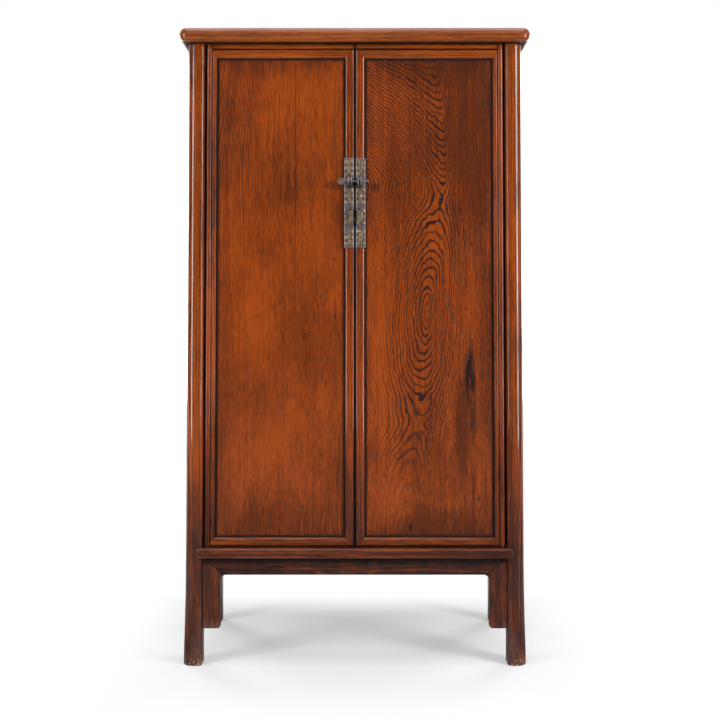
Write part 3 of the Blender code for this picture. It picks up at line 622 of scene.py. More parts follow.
def use_group(tree, name, **values):
    """A group placed in a tree with its own values; spaces in a socket's name are written as _."""
    item = tree.nodes.new("ShaderNodeGroup")
    item.node_tree = bpy.data.node_groups[name]
    for key, value in values.items():
        feed(tree, item.inputs[key.replace("_", " ")], value)
    return item.outputs


GRAIN_OUTPUTS = (("Lines", "Float"), ("Pores", "Float"), ("Cloud", "Float"), ("Fibre", "Float"))


def ring_lines(tree, phase, seed):
    """Dark late growth at the end of each ring, some rings stronger than others."""
    along = calc(tree, "FRACT", phase)
    rise = step(tree, along, 0.52, 0.84)
    fall = step(tree, along, 0.93, 1.0, 1.0, 0.0)
    chance = tree.nodes.new("ShaderNodeTexWhiteNoise")
    chance.noise_dimensions = "1D"
    feed(tree, chance.inputs["W"], calc(tree, "ADD", calc(tree, "FLOOR", phase), seed))
    strength = calc(tree, "MULTIPLY_ADD", chance.outputs["Value"], 0.50, 0.50)
    return calc(tree, "MULTIPLY", calc(tree, "MULTIPLY", rise, fall), strength)


def small_grain(tree, vector, lines, result):
    """Pores, fibres and soft clouds along the grain."""
    pores = step(tree, mottle(tree, vector, (620.0, 620.0, 11.0), 1.0), 0.57, 0.70)
    shaded = calc(tree, "MULTIPLY_ADD", lines, 0.65, 0.35)
    feed(tree, result["Pores"], calc(tree, "MULTIPLY", pores, shaded))
    long_fibre = mottle(tree, vector, (150.0, 150.0, 2.2), 2.0, 0.5)
    short_fibre = mottle(tree, vector, (330.0, 330.0, 26.0), 3.0, 0.6, (1.0, 2.0, 0.5))
    feed(tree, result["Fibre"], lerp(tree, 0.58, long_fibre, short_fibre))
    feed(tree, result["Cloud"], mottle(tree, vector, (7.0, 7.0, 1.9), 3.0, 0.55, (3.1, 0.4, 1.7)))


def make_plank_grain():
    """Straight growth rings round a far pith, with the grain along Z."""
    inputs = (
        ("Vector", "Vector", None), ("Spacing", "Float", 0.006), ("Waver", "Float", 0.012),
        ("Pith", "Float", 0.16), ("Seed", "Float", 0.0),
    )
    tree, source, result = new_group("plank_grain", inputs, GRAIN_OUTPUTS)
    shift = tree.nodes.new("ShaderNodeCombineXYZ")
    feed(tree, shift.inputs["Z"], calc(tree, "MULTIPLY", source["Seed"], 3.7))
    moved = tree.nodes.new("ShaderNodeVectorMath")
    moved.operation = "ADD"
    tree.links.new(source["Vector"], moved.inputs[0])
    tree.links.new(shift.outputs[0], moved.inputs[1])
    vector = moved.outputs[0]
    x, y, z = split(tree, vector)
    sway = calc(tree, "SUBTRACT", mottle(tree, vector, (3.0, 3.0, 0.9), 1.0), 0.5)
    drift = calc(tree, "SUBTRACT", mottle(tree, vector, (4.0, 4.0, 1.3), 1.0, 0.5, (5.0, 1.0, 2.0)), 0.5)
    fine = calc(tree, "SUBTRACT", mottle(tree, vector, (38.0, 38.0, 1.2), 3.0), 0.5)
    across = calc(tree, "ADD", calc(tree, "MULTIPLY_ADD", sway, source["Waver"], x), source["Pith"])
    deep = calc(tree, "MULTIPLY_ADD", drift, source["Waver"], y)
    deep = calc(tree, "ADD", deep, calc(tree, "MULTIPLY", source["Pith"], 0.45))
    reach = distance(tree, across, deep)
    phase = calc(tree, "MULTIPLY_ADD", fine, 2.6, calc(tree, "DIVIDE", reach, source["Spacing"]))
    lines = ring_lines(tree, phase, source["Seed"])
    feed(tree, result["Lines"], lines)
    small_grain(tree, vector, lines, result)


def make_door_figure():
    """Flat-sawn figure of the right door panel: nested tongues above an oval eye and arches below it."""
    inputs = (("Vector", "Vector", None), ("Spacing", "Float", 0.0080))
    tree, source, result = new_group("door_figure", inputs, GRAIN_OUTPUTS)
    vector = source["Vector"]
    x, y, z = split(tree, vector)
    rise = calc(tree, "DIVIDE", calc(tree, "SUBTRACT", z, 0.36), 1.36, clamp=True)
    heart = curve(tree, rise, (
        (0.0, 0.398), (0.0206, 0.396), (0.151, 0.389), (0.234, 0.452), (0.286, 0.474),
        (0.472, 0.509), (0.643, 0.572), (0.740, 0.636), (0.939, 0.608), (1.0, 0.590),
    ))
    depth = curve(tree, rise, (
        (0.0, 0.20), (0.151, 0.345, "VECTOR"), (0.234, 0.458, "VECTOR"), (0.300, 0.385, "VECTOR"),
        (0.472, 0.0, "VECTOR"), (0.650, 0.37, "VECTOR"), (0.702, 0.418), (1.0, 0.45),
    ))
    bend = calc(tree, "SUBTRACT", mottle(tree, vector, (9.0, 9.0, 5.0), 1.0), 0.5)
    shake = calc(tree, "SUBTRACT", mottle(tree, vector, (60.0, 60.0, 24.0), 2.0), 0.5)
    offset = calc(tree, "MULTIPLY_ADD", bend, 0.030, calc(tree, "MULTIPLY_ADD", heart, -0.4, x))
    offset = calc(tree, "MULTIPLY_ADD", shake, 0.0055, offset)
    # Ovals round the eye and arches below it
    pull = lerp(tree, step(tree, offset, -0.006, 0.006), 1.0, 1.3)
    across = calc(tree, "MULTIPLY", offset, pull)
    deep = calc(tree, "MULTIPLY", depth, 0.2)
    reach = distance(tree, across, deep)
    oval = calc(tree, "DIVIDE", reach, source["Spacing"])
    # Tongues whose left limbs flatten out and whose right limbs stand upright
    soft = calc(tree, "SQRT", calc(tree, "MULTIPLY_ADD", offset, offset, 0.00014))
    soft = calc(tree, "SUBTRACT", soft, 0.0118)
    left = calc(tree, "MULTIPLY", soft, step(tree, offset, -0.006, 0.006, 1.0, 0.0))
    right = calc(tree, "SUBTRACT", soft, left)
    far_left = calc(tree, "DIVIDE", left, 0.25, clamp=True)
    rising = curve(tree, far_left, (
        (0.0, 0.0), (0.12, 0.16), (0.24, 0.37), (0.34, 0.53), (0.44, 0.65), (0.64, 0.80), (1.0, 1.0),
    ))
    spread = curve(tree, far_left, ((0.0, 1.0), (0.20, 0.80), (0.40, 0.58), (1.0, 0.46)))
    lift = calc(tree, "MULTIPLY_ADD", right, 5.0, calc(tree, "MULTIPLY", rising, 0.30))
    pitch = calc(tree, "MULTIPLY", spread, 0.0222)
    climb = calc(tree, "SUBTRACT", calc(tree, "SUBTRACT", z, 1.345), lift)
    tongue = calc(tree, "SUBTRACT", 10.5, calc(tree, "DIVIDE", climb, pitch))
    upper = step(tree, z, 1.25, 1.40)
    ripple = mottle(tree, vector, (34.0, 34.0, 26.0), 2.0, 0.55, (2.0, 0.0, 5.0))
    ripple = calc(tree, "SUBTRACT", ripple, 0.5)
    phase = calc(tree, "MULTIPLY_ADD", ripple, 1.5, lerp(tree, upper, oval, tongue))
    lines = ring_lines(tree, phase, 4.0)
    away = step(tree, calc(tree, "ABSOLUTE", offset), 0.035, 0.13, 1.0, 0.55)
    away = lerp(tree, upper, away, step(tree, offset, 0.010, 0.045, 1.0, 0.60))
    low = step(tree, z, 0.42, 0.64, 0.30, 1.0)
    low = calc(tree, "MULTIPLY_ADD", spot_mask(tree, vector, (0.184, 0.69), (0.05, 0.07)), -0.30, low)
    lines = calc(tree, "MULTIPLY", lines, calc(tree, "MULTIPLY", away, low))
    # Fine straight grain along the right side
    sway = mottle(tree, vector, (22.0, 22.0, 1.6), 2.0, 0.5, (7.0, 0.0, 3.0))
    upright = ring_lines(tree, calc(tree, "MULTIPLY_ADD", sway, 4.0, calc(tree, "DIVIDE", x, 0.0058)), 9.0)
    upright = calc(tree, "MULTIPLY", upright, step(tree, offset, 0.012, 0.060, 0.0, 0.50))
    lines = calc(tree, "MAXIMUM", lines, upright)
    feed(tree, result["Lines"], lines)
    small_grain(tree, vector, lines, result)


def make_old_finish():
    """Colour, roughness and height of old waxed wood from its grain, grime and wear; its Grime and Dust
    inputs also carry painted shade.
    """
    inputs = (
        ("Light", "Color", None), ("Deep", "Color", None), ("Line", "Color", None),
        ("Grime Colour", "Color", None), ("Worn Colour", "Color", None),
        ("Lines", "Float", 0.0), ("Pores", "Float", 0.0), ("Cloud", "Float", 0.5), ("Fibre", "Float", 0.5),
        ("Grime", "Float", 0.0), ("Wear", "Float", 0.0), ("Line Strength", "Float", 0.8),
        ("Base Roughness", "Float", 0.3), ("Dust Colour", "Color", None), ("Dust", "Float", 0.0),
    )
    outputs = (("Color", "Color"), ("Roughness", "Float"), ("Coat", "Float"), ("Height", "Float"))
    tree, source, result = new_group("old_finish", inputs, outputs)
    tone = calc(tree, "MULTIPLY_ADD", source["Fibre"], 2.2, calc(tree, "MULTIPLY", source["Cloud"], 1.4))
    tone = step(tree, tone, 1.42, 2.14)
    colour = blend(tree, tone, source["Deep"], source["Light"])
    strength = calc(tree, "MULTIPLY", source["Lines"], source["Line Strength"], clamp=True)
    colour = blend(tree, strength, colour, source["Line"])
    colour = blend(tree, calc(tree, "MULTIPLY", source["Pores"], 0.75), colour, source["Line"])
    # Dust colour over the dust and over the painted shade low on the cabinet
    colour = blend(tree, source["Dust"], colour, source["Dust Colour"])
    colour = blend(tree, source["Wear"], colour, source["Worn Colour"])
    # Grime colour over real dirt and over painted shade
    colour = blend(tree, source["Grime"], colour, source["Grime Colour"])
    feed(tree, result["Color"], colour)
    rough = calc(tree, "MULTIPLY_ADD", source["Cloud"], 0.14, source["Base Roughness"])
    rough = calc(tree, "MULTIPLY_ADD", source["Grime"], 0.50, rough)
    rough = calc(tree, "MULTIPLY_ADD", source["Pores"], 0.15, rough)
    feed(tree, result["Roughness"], rough)
    coat = calc(tree, "MULTIPLY_ADD", source["Grime"], -0.95, 0.95)
    coat = calc(tree, "MULTIPLY", coat, step(tree, source["Cloud"], 0.34, 0.56, 0.60, 1.0))
    coat = calc(tree, "MULTIPLY_ADD", source["Dust"], -0.35, coat)
    coat = calc(tree, "MULTIPLY_ADD", source["Wear"], -0.3, coat, clamp=True)
    feed(tree, result["Coat"], coat)
    height = calc(tree, "MULTIPLY", source["Fibre"], 0.35)
    height = calc(tree, "MULTIPLY_ADD", source["Lines"], -0.45, height)
    feed(tree, result["Height"], calc(tree, "MULTIPLY_ADD", source["Pores"], -0.8, height))


def make_panel_edge():
    """Painted shade and dirt along the sunk border of a door panel, from its place in the door."""
    inputs = (("Vector", "Vector", None), ("Width", "Float", 0.006))
    tree, source, result = new_group("panel_edge", inputs, (("Dirt", "Float"), ("Inset", "Float")))
    x, y, z = split(tree, source["Vector"])
    growth = calc(tree, "MULTIPLY_ADD", z, -TAPER / TOP_UNDERSIDE, 1.0 + TAPER)
    level = calc(tree, "DIVIDE", calc(tree, "ABSOLUTE", x), growth)
    inner = calc(tree, "SUBTRACT", level, MEETING_INNER)
    outer = calc(tree, "SUBTRACT", STILE_INNER, level)
    foot = calc(tree, "SUBTRACT", z, PANEL_FOOT)
    head = calc(tree, "SUBTRACT", PANEL_TOP, z)
    inset = calc(tree, "MINIMUM", calc(tree, "MINIMUM", inner, outer), calc(tree, "MINIMUM", foot, head))
    ragged = mottle(tree, source["Vector"], (70.0, 70.0, 40.0), 3.0)
    width = calc(tree, "MULTIPLY", source["Width"], calc(tree, "MULTIPLY_ADD", ragged, 1.6, 0.2))
    # A narrow band of painted shade and dirt along the sunk border, ragged in width
    feed(tree, result["Dirt"], step(tree, inset, 0.0, width, 1.0, 0.0))
    feed(tree, result["Inset"], inset)


def make_crevice_shade():
    """Painted shade in the hollows of the door mouldings, in the gap between the doors, under the top and
    on the apron under the ledge.
    """
    inputs = (("Vector", "Vector", None), ("Quirk", "Float", 0.0))
    # Its output, named Grime, is painted shade only
    tree, source, result = new_group("crevice_grime", inputs, (("Grime", "Float"),))
    x, y, z = split(tree, source["Vector"])
    growth = calc(tree, "MULTIPLY_ADD", z, -TAPER / TOP_UNDERSIDE, 1.0 + TAPER)
    depth = calc(tree, "SUBTRACT", calc(tree, "DIVIDE", y, growth), DOOR_FACE)
    ragged = calc(tree, "SUBTRACT", mottle(tree, source["Vector"], (90.0, 90.0, 50.0), 3.0), 0.5)
    # Painted shade in the sunk border and the quirks of the door mouldings
    hollow = calc(tree, "MULTIPLY_ADD", ragged, 0.0016, depth)
    sunk = step(tree, hollow, 0.0026, 0.0052)
    sunk = calc(tree, "MULTIPLY", sunk, step(tree, depth, 0.010, 0.012, 1.0, 0.0))
    sunk = calc(tree, "MULTIPLY", sunk, source["Quirk"])
    # Painted shadow under the top's overhang
    under = calc(tree, "ABSOLUTE", calc(tree, "SUBTRACT", z, TOP_UNDERSIDE))
    under = step(tree, under, 0.0008, 0.0030, 1.0, 0.0)
    under = calc(tree, "MULTIPLY", under, step(tree, y, LEDGE_FRONT, LEDGE_FRONT + 0.006))
    level = calc(tree, "DIVIDE", calc(tree, "ABSOLUTE", x), growth)
    deep = calc(tree, "DIVIDE", calc(tree, "ABSOLUTE", y), growth)
    bay_x = calc(tree, "LESS_THAN", level, POST_INNER_X)
    bay_y = calc(tree, "LESS_THAN", deep, POST_INNER_Y)
    behind = calc(tree, "GREATER_THAN", calc(tree, "DIVIDE", y, growth), 0.002 - HALF_DEPTH)
    behind = calc(tree, "MULTIPLY", behind, calc(tree, "MAXIMUM", bay_x, bay_y))
    # Painted shadow of the ledge on the apron below it
    sill = calc(tree, "MULTIPLY", step(tree, z, 0.276, 0.300), calc(tree, "LESS_THAN", z, SILL_BOTTOM))
    sill = calc(tree, "MULTIPLY", sill, behind)
    # Painted shade at the meeting edges, in the gap between the doors
    meeting = step(tree, calc(tree, "ABSOLUTE", x), 0.0036, 0.0050, 1.0, 0.0)
    sunk = calc(tree, "MAXIMUM", sunk, calc(tree, "MULTIPLY", meeting, source["Quirk"]))
    worst = calc(tree, "MAXIMUM", calc(tree, "MAXIMUM", under, sill), sunk)
    feed(tree, result["Grime"], calc(tree, "MULTIPLY", worst, 0.92))


# Finishes

# Turns that bring the grain of a piece from X, Y or Z to the Z of the grain group
GRAIN_TURNS = {"X": (0.0, -math.pi / 2, 0.0), "Y": (math.pi / 2, 0.0, 0.0), "Z": (0.0, 0.0, 0.0)}


def paint(colour):
    """A colour with full alpha."""
    return (colour[0], colour[1], colour[2], 1.0)


def start_material(name):
    """The tree of a new material, its shader and its Object coordinates."""
    material = bpy.data.materials.new(name)
    material.use_nodes = True
    tree = material.node_tree
    coordinates = tree.nodes.new("ShaderNodeTexCoord")
    return tree, tree.nodes["Principled BSDF"], coordinates.outputs["Object"]


def finish_wood(tree, shader, palette, grain, grime, wear, strength, roughness, bump, dust=0.0):
    """Old waxed wood on a shader, in the colours of a palette."""
    look = finish_of()
    made = use_group(
        tree, "old_finish",
        Light=paint(getattr(look, f"{palette}_light")),
        Deep=paint(getattr(look, f"{palette}_deep")),
        Line=paint(getattr(look, f"{palette}_line")),
        Grime_Colour=paint(look.grime), Worn_Colour=paint(look.worn),
        Lines=grain["Lines"], Pores=grain["Pores"], Cloud=grain["Cloud"], Fibre=grain["Fibre"],
        Grime=grime, Wear=wear, Line_Strength=strength, Base_Roughness=roughness,
        Dust_Colour=paint(look.dust), Dust=dust,
    )
    feed(tree, shader.inputs["Base Color"], made["Color"])
    feed(tree, shader.inputs["Roughness"], made["Roughness"])
    feed(tree, shader.inputs["Coat Weight"], made["Coat"])
    shader.inputs["Coat Roughness"].default_value = 0.21
    shader.inputs["Specular IOR Level"].default_value = 0.12
    bumps = tree.nodes.new("ShaderNodeBump")
    bumps.inputs["Strength"].default_value = bump
    bumps.inputs["Distance"].default_value = 0.0006
    feed(tree, bumps.inputs["Height"], made["Height"])
    feed(tree, shader.inputs["Normal"], bumps.outputs["Normal"])


def turned(tree, vector, along):
    """Coordinates turned so that the grain lies along Z."""
    mapping = tree.nodes.new("ShaderNodeMapping")
    mapping.inputs["Rotation"].default_value = GRAIN_TURNS[along]
    feed(tree, mapping.inputs["Vector"], vector)
    return mapping.outputs["Vector"]


def wood_material(
    name, palette, along, spacing, seed, strength=0.8, roughness=0.24, dirt=0.5, rub=0.35, dust_and_shade_amount=0.0,
    quirk=0.0, wax=(0.12, 1.50),
):
    """Straight-grained wood of a palette, with its grain along X, Y or Z."""
    tree, shader, spot = start_material(name)
    along_grain = turned(tree, spot, along)
    grain = use_group(tree, "plank_grain", Vector=along_grain, Spacing=spacing, Waver=0.05, Seed=seed)
    patches = step(tree, mottle(tree, along_grain, (16.0, 16.0, 3.5), 4.0, 0.6), 0.54, 0.74)
    x, y, z = split(tree, spot)
    # Patches of old wax and dirt, darker towards the bottom of the cabinet, and painted shade in the
    # hollows, under the top and under the ledge
    low = step(tree, z, 0.33, 0.60 + 0.24 * quirk, 1.0, 0.0)
    grime = calc(tree, "MULTIPLY", patches, calc(tree, "MULTIPLY_ADD", low, 0.25, dirt), clamp=True)
    # Painted shade in the hollows, under the top and under the ledge
    crevice = use_group(tree, "crevice_grime", Vector=spot, Quirk=quirk)
    grime = calc(tree, "MAXIMUM", grime, crevice["Grime"])
    # Grey-brown dust low on the cabinet, which also paints the shade of the lower legs and of the apron
    # under the ledge
    bloom = mottle(tree, spot, (22.0, 22.0, 12.0), 4.0, 0.6)
    dust = calc(tree, "MULTIPLY", low, step(tree, bloom, 0.25, 0.60, 0.62, 0.92))
    dust = calc(tree, "MULTIPLY", dust, step(tree, grain["Fibre"], 0.44, 0.62, 1.0, 0.66))
    dust = calc(tree, "MULTIPLY", dust, dust_and_shade_amount)
    # Rubbed arrises and chipped feet
    rubbed = step(tree, mottle(tree, spot, (45.0, 45.0, 30.0), 4.0, 0.6), 0.46, 0.66)
    wear = calc(tree, "MULTIPLY", calc(tree, "MULTIPLY", attribute(tree, "arris"), rubbed), rub)
    chips = step(tree, mottle(tree, spot, (150.0, 150.0, 110.0), 2.0), 0.56, 0.66)
    near_floor = step(tree, z, 0.003, 0.034, 0.95, 0.0)
    wear = calc(tree, "MAXIMUM", wear, calc(tree, "MULTIPLY", chips, near_floor))
    finish_wood(tree, shader, palette, grain, grime, wear, strength, roughness, 0.12, dust)
    shader.inputs["Coat Roughness"].default_value = wax[0]
    shader.inputs["Coat IOR"].default_value = wax[1]


def spot_mask(tree, spot, centre, size):
    """A soft oval patch at (x, z)."""
    x, y, z = split(tree, spot)
    across = calc(tree, "DIVIDE", calc(tree, "SUBTRACT", x, centre[0]), size[0])
    up = calc(tree, "DIVIDE", calc(tree, "SUBTRACT", z, centre[1]), size[1])
    far = distance(tree, across, up)
    return step(tree, far, 0.35, 1.0, 1.0, 0.0)


def darkest(tree, masks):
    """The strongest of several masks."""
    result = masks[0]
    for mask in masks[1:]:
        result = calc(tree, "MAXIMUM", result, mask)
    return result


def with_patches(tree, spot, cloud, patches):
    """A cloud with soft lighter and darker patches on it."""
    for centre, size, amount in patches:
        cloud = calc(tree, "MULTIPLY_ADD", spot_mask(tree, spot, centre, size), amount, cloud)
    return cloud


def small_holes(tree, spot, holes):
    """Masks of worm holes and small knots."""
    return [calc(tree, "MULTIPLY", spot_mask(tree, spot, centre, size), 0.85) for centre, size in holes]


def border_dirt_and_shade(tree, border, ragged, amount):
    """Dirt and painted shade that fade from the edge of a door panel into it."""
    fading = step(tree, border["Inset"], 0.0, 0.06, amount, 0.0)
    return calc(tree, "MULTIPLY", fading, step(tree, ragged, 0.35, 0.65))


# Soft patches of the right panel: place (x, z), half sizes, and how much lighter or darker
RIGHT_PATCHES = (
    ((0.310, 0.690), (0.036, 0.21), -0.22), ((0.330, 1.50), (0.09, 0.42), -0.20),
    ((0.215, 1.72), (0.20, 0.12), -0.17), ((0.050, 1.05), (0.06, 0.60), 0.10),
    ((0.200, 0.34), (0.26, 0.14), -0.23), ((0.375, 1.00), (0.03, 0.50), -0.08),
    ((0.090, 0.46), (0.10, 0.15), 0.12),
)
# Worm holes and small knots of the right panel: place (x, z) and half sizes
RIGHT_HOLES = (
    ((0.3335, 1.192), (0.0040, 0.0050)), ((0.3320, 0.997), (0.0035, 0.0042)),
    ((0.158, 0.388), (0.0075, 0.017)), ((0.352, 0.470), (0.0040, 0.0075)),
    ((0.302, 0.557), (0.0036, 0.0060)), ((0.316, 0.551), (0.0036, 0.0050)),
)
# Soft patches of the left panel
LEFT_PATCHES = (
    ((-0.27, 1.385), (0.21, 0.16), -0.11), ((-0.345, 1.28), (0.08, 0.30), 0.02),
    ((-0.36, 0.56), (0.08, 0.45), -0.03), ((-0.20, 0.36), (0.30, 0.16), -0.16),
    ((-0.23, 1.74), (0.24, 0.10), -0.08), ((-0.105, 0.95), (0.08, 0.20), -0.09),
    ((-0.140, 0.78), (0.05, 0.10), -0.09), ((-0.267, 1.00), (0.08, 0.18), 0.09),
    ((-0.060, 1.03), (0.022, 0.05), 0.16), ((-0.250, 0.62), (0.06, 0.30), 0.05),
    ((-0.230, 1.58), (0.08, 0.10), 0.06),
)
# Worm holes and small knots of the left panel
LEFT_HOLES = (
    ((-0.1925, 1.519), (0.0042, 0.0048)), ((-0.1376, 1.417), (0.0040, 0.0046)),
    ((-0.0558, 0.988), (0.0042, 0.0110)), ((-0.2589, 1.231), (0.0036, 0.0040)),
    ((-0.1827, 1.197), (0.0030, 0.0036)), ((-0.0587, 1.152), (0.0040, 0.0050)),
    ((-0.1630, 1.096), (0.0032, 0.0046)), ((-0.1290, 0.943), (0.0040, 0.0042)),
)
# Dark patches of the left panel: the painted shadow of the lock pin's head beside the lock, and stains,
# one round a knot: place (x, z), half sizes and strength
LEFT_STAINS_AND_PIN_SHADOW = (
    ((-0.0580, 1.361), (0.042, 0.019), 0.65), ((-0.0640, 1.275), (0.010, 0.010), 0.45),
    ((-0.0560, 1.010), (0.009, 0.045), 0.40),
)
# Line where the two boards of the left panel meet
LEFT_BOARD_JOINT = -0.1690
PANEL_ROUGHNESS = 0.22
PANEL_BUMP = 0.08
PANEL_BORDER_SHADE_WIDTH = 0.0075


def right_panel_material():
    """The figured right door panel, with its burnt streak, worm holes, the painted shadow of the lock pin,
    and dirt and painted shade along its border.
    """
    tree, shader, spot = start_material("figured_door_panel")
    x, y, z = split(tree, spot)
    figure = use_group(tree, "door_figure", Vector=spot)
    grain = {name: figure[name] for name in ("Lines", "Pores")}
    flecks = mottle(tree, spot, (260.0, 260.0, 50.0), 4.0, 0.65, (0.0, 3.0, 1.0))
    flecks = calc(tree, "MULTIPLY_ADD", flecks, 0.44, 0.025)
    grain["Fibre"] = calc(tree, "MULTIPLY_ADD", figure["Fibre"], 0.55, flecks)
    broad = mottle(tree, spot, (6.0, 6.0, 3.0), 2.0, 0.5, (1.3, 0.0, 7.1))
    cloud = calc(tree, "MULTIPLY_ADD", figure["Cloud"], 0.60, calc(tree, "MULTIPLY", broad, 0.32))
    grain["Cloud"] = with_patches(tree, spot, cloud, RIGHT_PATCHES)
    border = use_group(tree, "panel_edge", Vector=spot, Width=PANEL_BORDER_SHADE_WIDTH)
    ragged = mottle(tree, spot, (60.0, 60.0, 9.0), 4.0, 0.65)
    charred = step(tree, ragged, 0.37, 0.50)
    burn = calc(tree, "MULTIPLY", spot_mask(tree, spot, (0.329, 0.825), (0.024, 0.125)), charred)
    torn = step(tree, ragged, 0.36, 0.56)
    streak = calc(tree, "MULTIPLY", spot_mask(tree, spot, (0.338, 0.62), (0.012, 0.36)), torn)
    # Painted shadow cast on the panel by the end of the lock pin
    dark_patch = spot_mask(tree, spot, (0.052, 1.356), (0.028, 0.018))
    marks = [
        calc(tree, "MULTIPLY", burn, 0.95),
        calc(tree, "MULTIPLY", streak, 0.70),
        calc(tree, "MULTIPLY", border["Dirt"], 0.9),
        *small_holes(tree, spot, RIGHT_HOLES),
        border_dirt_and_shade(tree, border, ragged, 0.45),
        calc(tree, "MULTIPLY", dark_patch, 0.55),
    ]
    strength = step(tree, z, 0.58, 0.74, 0.80, 1.35)
    finish_wood(
        tree, shader, "door", grain, darkest(tree, marks), 0.0, strength, PANEL_ROUGHNESS, PANEL_BUMP
    )


def left_panel_material():
    """The straight-grained left door panel, with its board joint, knots, stains, the painted shadow of the
    lock pin, and dirt and painted shade along its border.
    """
    tree, shader, spot = start_material("straight_door_panel")
    x, y, z = split(tree, spot)
    # Grain that bends outwards in the upper outer corner
    leaning = tree.nodes.new("ShaderNodeCombineXYZ")
    corner = step(tree, x, -0.36, -0.26, 1.0, 0.12)
    bowed = calc(tree, "MULTIPLY", calc(tree, "MULTIPLY", step(tree, z, 1.42, 1.74), corner), -0.05)
    feed(tree, leaning.inputs["X"], calc(tree, "ADD", x, bowed))
    feed(tree, leaning.inputs["Y"], y)
    feed(tree, leaning.inputs["Z"], z)
    straight = use_group(
        tree, "plank_grain", Vector=leaning.outputs[0], Spacing=0.0088, Waver=0.05, Pith=0.62, Seed=2.0
    )
    grain = {name: straight[name] for name in ("Lines", "Pores")}
    flecks = mottle(tree, spot, (340.0, 340.0, 36.0), 3.0, 0.60)
    flecks = calc(tree, "MULTIPLY_ADD", flecks, 0.44, 0.13)
    grain["Fibre"] = calc(tree, "MULTIPLY_ADD", straight["Fibre"], 0.30, flecks)
    broad = mottle(tree, spot, (6.5, 6.5, 4.2), 4.0, 0.55, (4.0, 0.0, 0.6))
    broad = calc(tree, "MULTIPLY_ADD", broad, 0.54, 0.075)
    cloud = calc(tree, "MULTIPLY_ADD", straight["Cloud"], 0.35, broad)
    grain["Cloud"] = with_patches(tree, spot, cloud, LEFT_PATCHES)
    border = use_group(tree, "panel_edge", Vector=spot, Width=PANEL_BORDER_SHADE_WIDTH)
    ragged = mottle(tree, spot, (60.0, 60.0, 5.0), 4.0, 0.65)
    torn = step(tree, ragged, 0.44, 0.70)
    joint = calc(tree, "ABSOLUTE", calc(tree, "SUBTRACT", x, LEFT_BOARD_JOINT))
    joint = step(tree, joint, 0.0005, 0.0016, 0.70, 0.0)
    side = calc(tree, "MULTIPLY", step(tree, x, -0.378, -0.320, 1.0, 0.0), torn)
    palm = calc(tree, "MULTIPLY", spot_mask(tree, spot, (-0.20, 1.38), (0.20, 0.10)), torn)
    marks = [
        calc(tree, "MULTIPLY", border["Dirt"], 0.9),
        calc(tree, "MULTIPLY", joint, step(tree, z, 0.95, 1.30, 0.25, 1.0)),
        calc(tree, "MULTIPLY", side, 0.20),
        calc(tree, "MULTIPLY", palm, 0.35),
        *small_holes(tree, spot, LEFT_HOLES),
        border_dirt_and_shade(tree, border, ragged, 0.40),
    ]
    # The painted shadow of the lock pin's head, and stains
    for centre, size, amount in LEFT_STAINS_AND_PIN_SHADOW:
        dark_patch = calc(tree, "MULTIPLY", spot_mask(tree, spot, centre, size), amount)
        marks.append(calc(tree, "MULTIPLY", dark_patch, step(tree, ragged, 0.25, 0.60, 0.35, 1.0)))
    corner_lines = step(tree, x, -0.33, -0.25, 1.0, 0.0)
    corner_lines = calc(tree, "MULTIPLY", corner_lines, step(tree, z, 1.05, 1.45))
    strength = calc(tree, "MULTIPLY_ADD", corner_lines, 0.80, 0.22)
    finish_wood(
        tree, shader, "door", grain, darkest(tree, marks), 0.0, strength, PANEL_ROUGHNESS, PANEL_BUMP
    )


def brass_material():
    """Old brass: rubbed on its relief, brown in its hollows."""
    look = finish_of()
    tree, shader, spot = start_material("aged_brass_finish")
    gilt = attribute(tree, "gilt")
    soot = attribute(tree, "soot")
    patina = mottle(tree, spot, (120.0, 120.0, 90.0), 4.0, 0.6)
    specks = mottle(tree, spot, (240.0, 240.0, 170.0), 3.0, 0.6)
    pits = step(tree, mottle(tree, spot, (900.0, 900.0, 900.0), 2.0), 0.60, 0.72)
    # Arris marks rubbed edges; on the lugs' ribs it also stands in for their highlight
    raised = calc(tree, "MULTIPLY", attribute(tree, "arris"), 0.8)
    raised = calc(tree, "MAXIMUM", attribute(tree, "relief"), raised)
    # Golden ground, rubbed ridges, brown hollows, pits and painted shade, one over the other
    golden = calc(tree, "MULTIPLY", gilt, step(tree, patina, 0.30, 0.62, 0.45, 1.0), clamp=True)
    colour = blend(tree, golden, paint(look.brass_dull), paint(look.brass_gold))
    rubbed = calc(tree, "MULTIPLY", raised, step(tree, patina, 0.42, 0.56, 0.0, 1.0))
    colour = blend(tree, calc(tree, "MULTIPLY", rubbed, 0.85), colour, paint(look.brass_bright))
    hollow = calc(tree, "MULTIPLY_ADD", raised, -0.75, 1.0)
    hollow = calc(tree, "MULTIPLY", hollow, step(tree, specks, 0.44, 0.53))
    ground = calc(tree, "MULTIPLY_ADD", gilt, 0.80, 0.20)
    brown = calc(tree, "MULTIPLY", hollow, ground, clamp=True)
    colour = blend(tree, brown, colour, paint(look.brass_brown))
    colour = blend(tree, calc(tree, "MULTIPLY", pits, 0.4), colour, paint(look.grime))
    # Painted shade between and under the lugs, along the gap between the doors and in the pulls' eyes
    colour = blend(tree, soot, colour, paint(look.grime))
    feed(tree, shader.inputs["Base Color"], colour)
    metal = calc(tree, "MULTIPLY_ADD", brown, -0.30, 0.62)
    metal = calc(tree, "MULTIPLY_ADD", soot, -0.6, metal, clamp=True)
    feed(tree, shader.inputs["Metallic"], metal)
    rough = calc(tree, "MULTIPLY_ADD", rubbed, -0.12, 0.40)
    rough = calc(tree, "MULTIPLY_ADD", brown, 0.22, rough)
    feed(tree, shader.inputs["Roughness"], rough)
    bumps = tree.nodes.new("ShaderNodeBump")
    bumps.inputs["Strength"].default_value = 0.3
    bumps.inputs["Distance"].default_value = 0.0003
    feed(tree, bumps.inputs["Height"], calc(tree, "MULTIPLY_ADD", pits, -0.7, patina))
    feed(tree, shader.inputs["Normal"], bumps.outputs["Normal"])


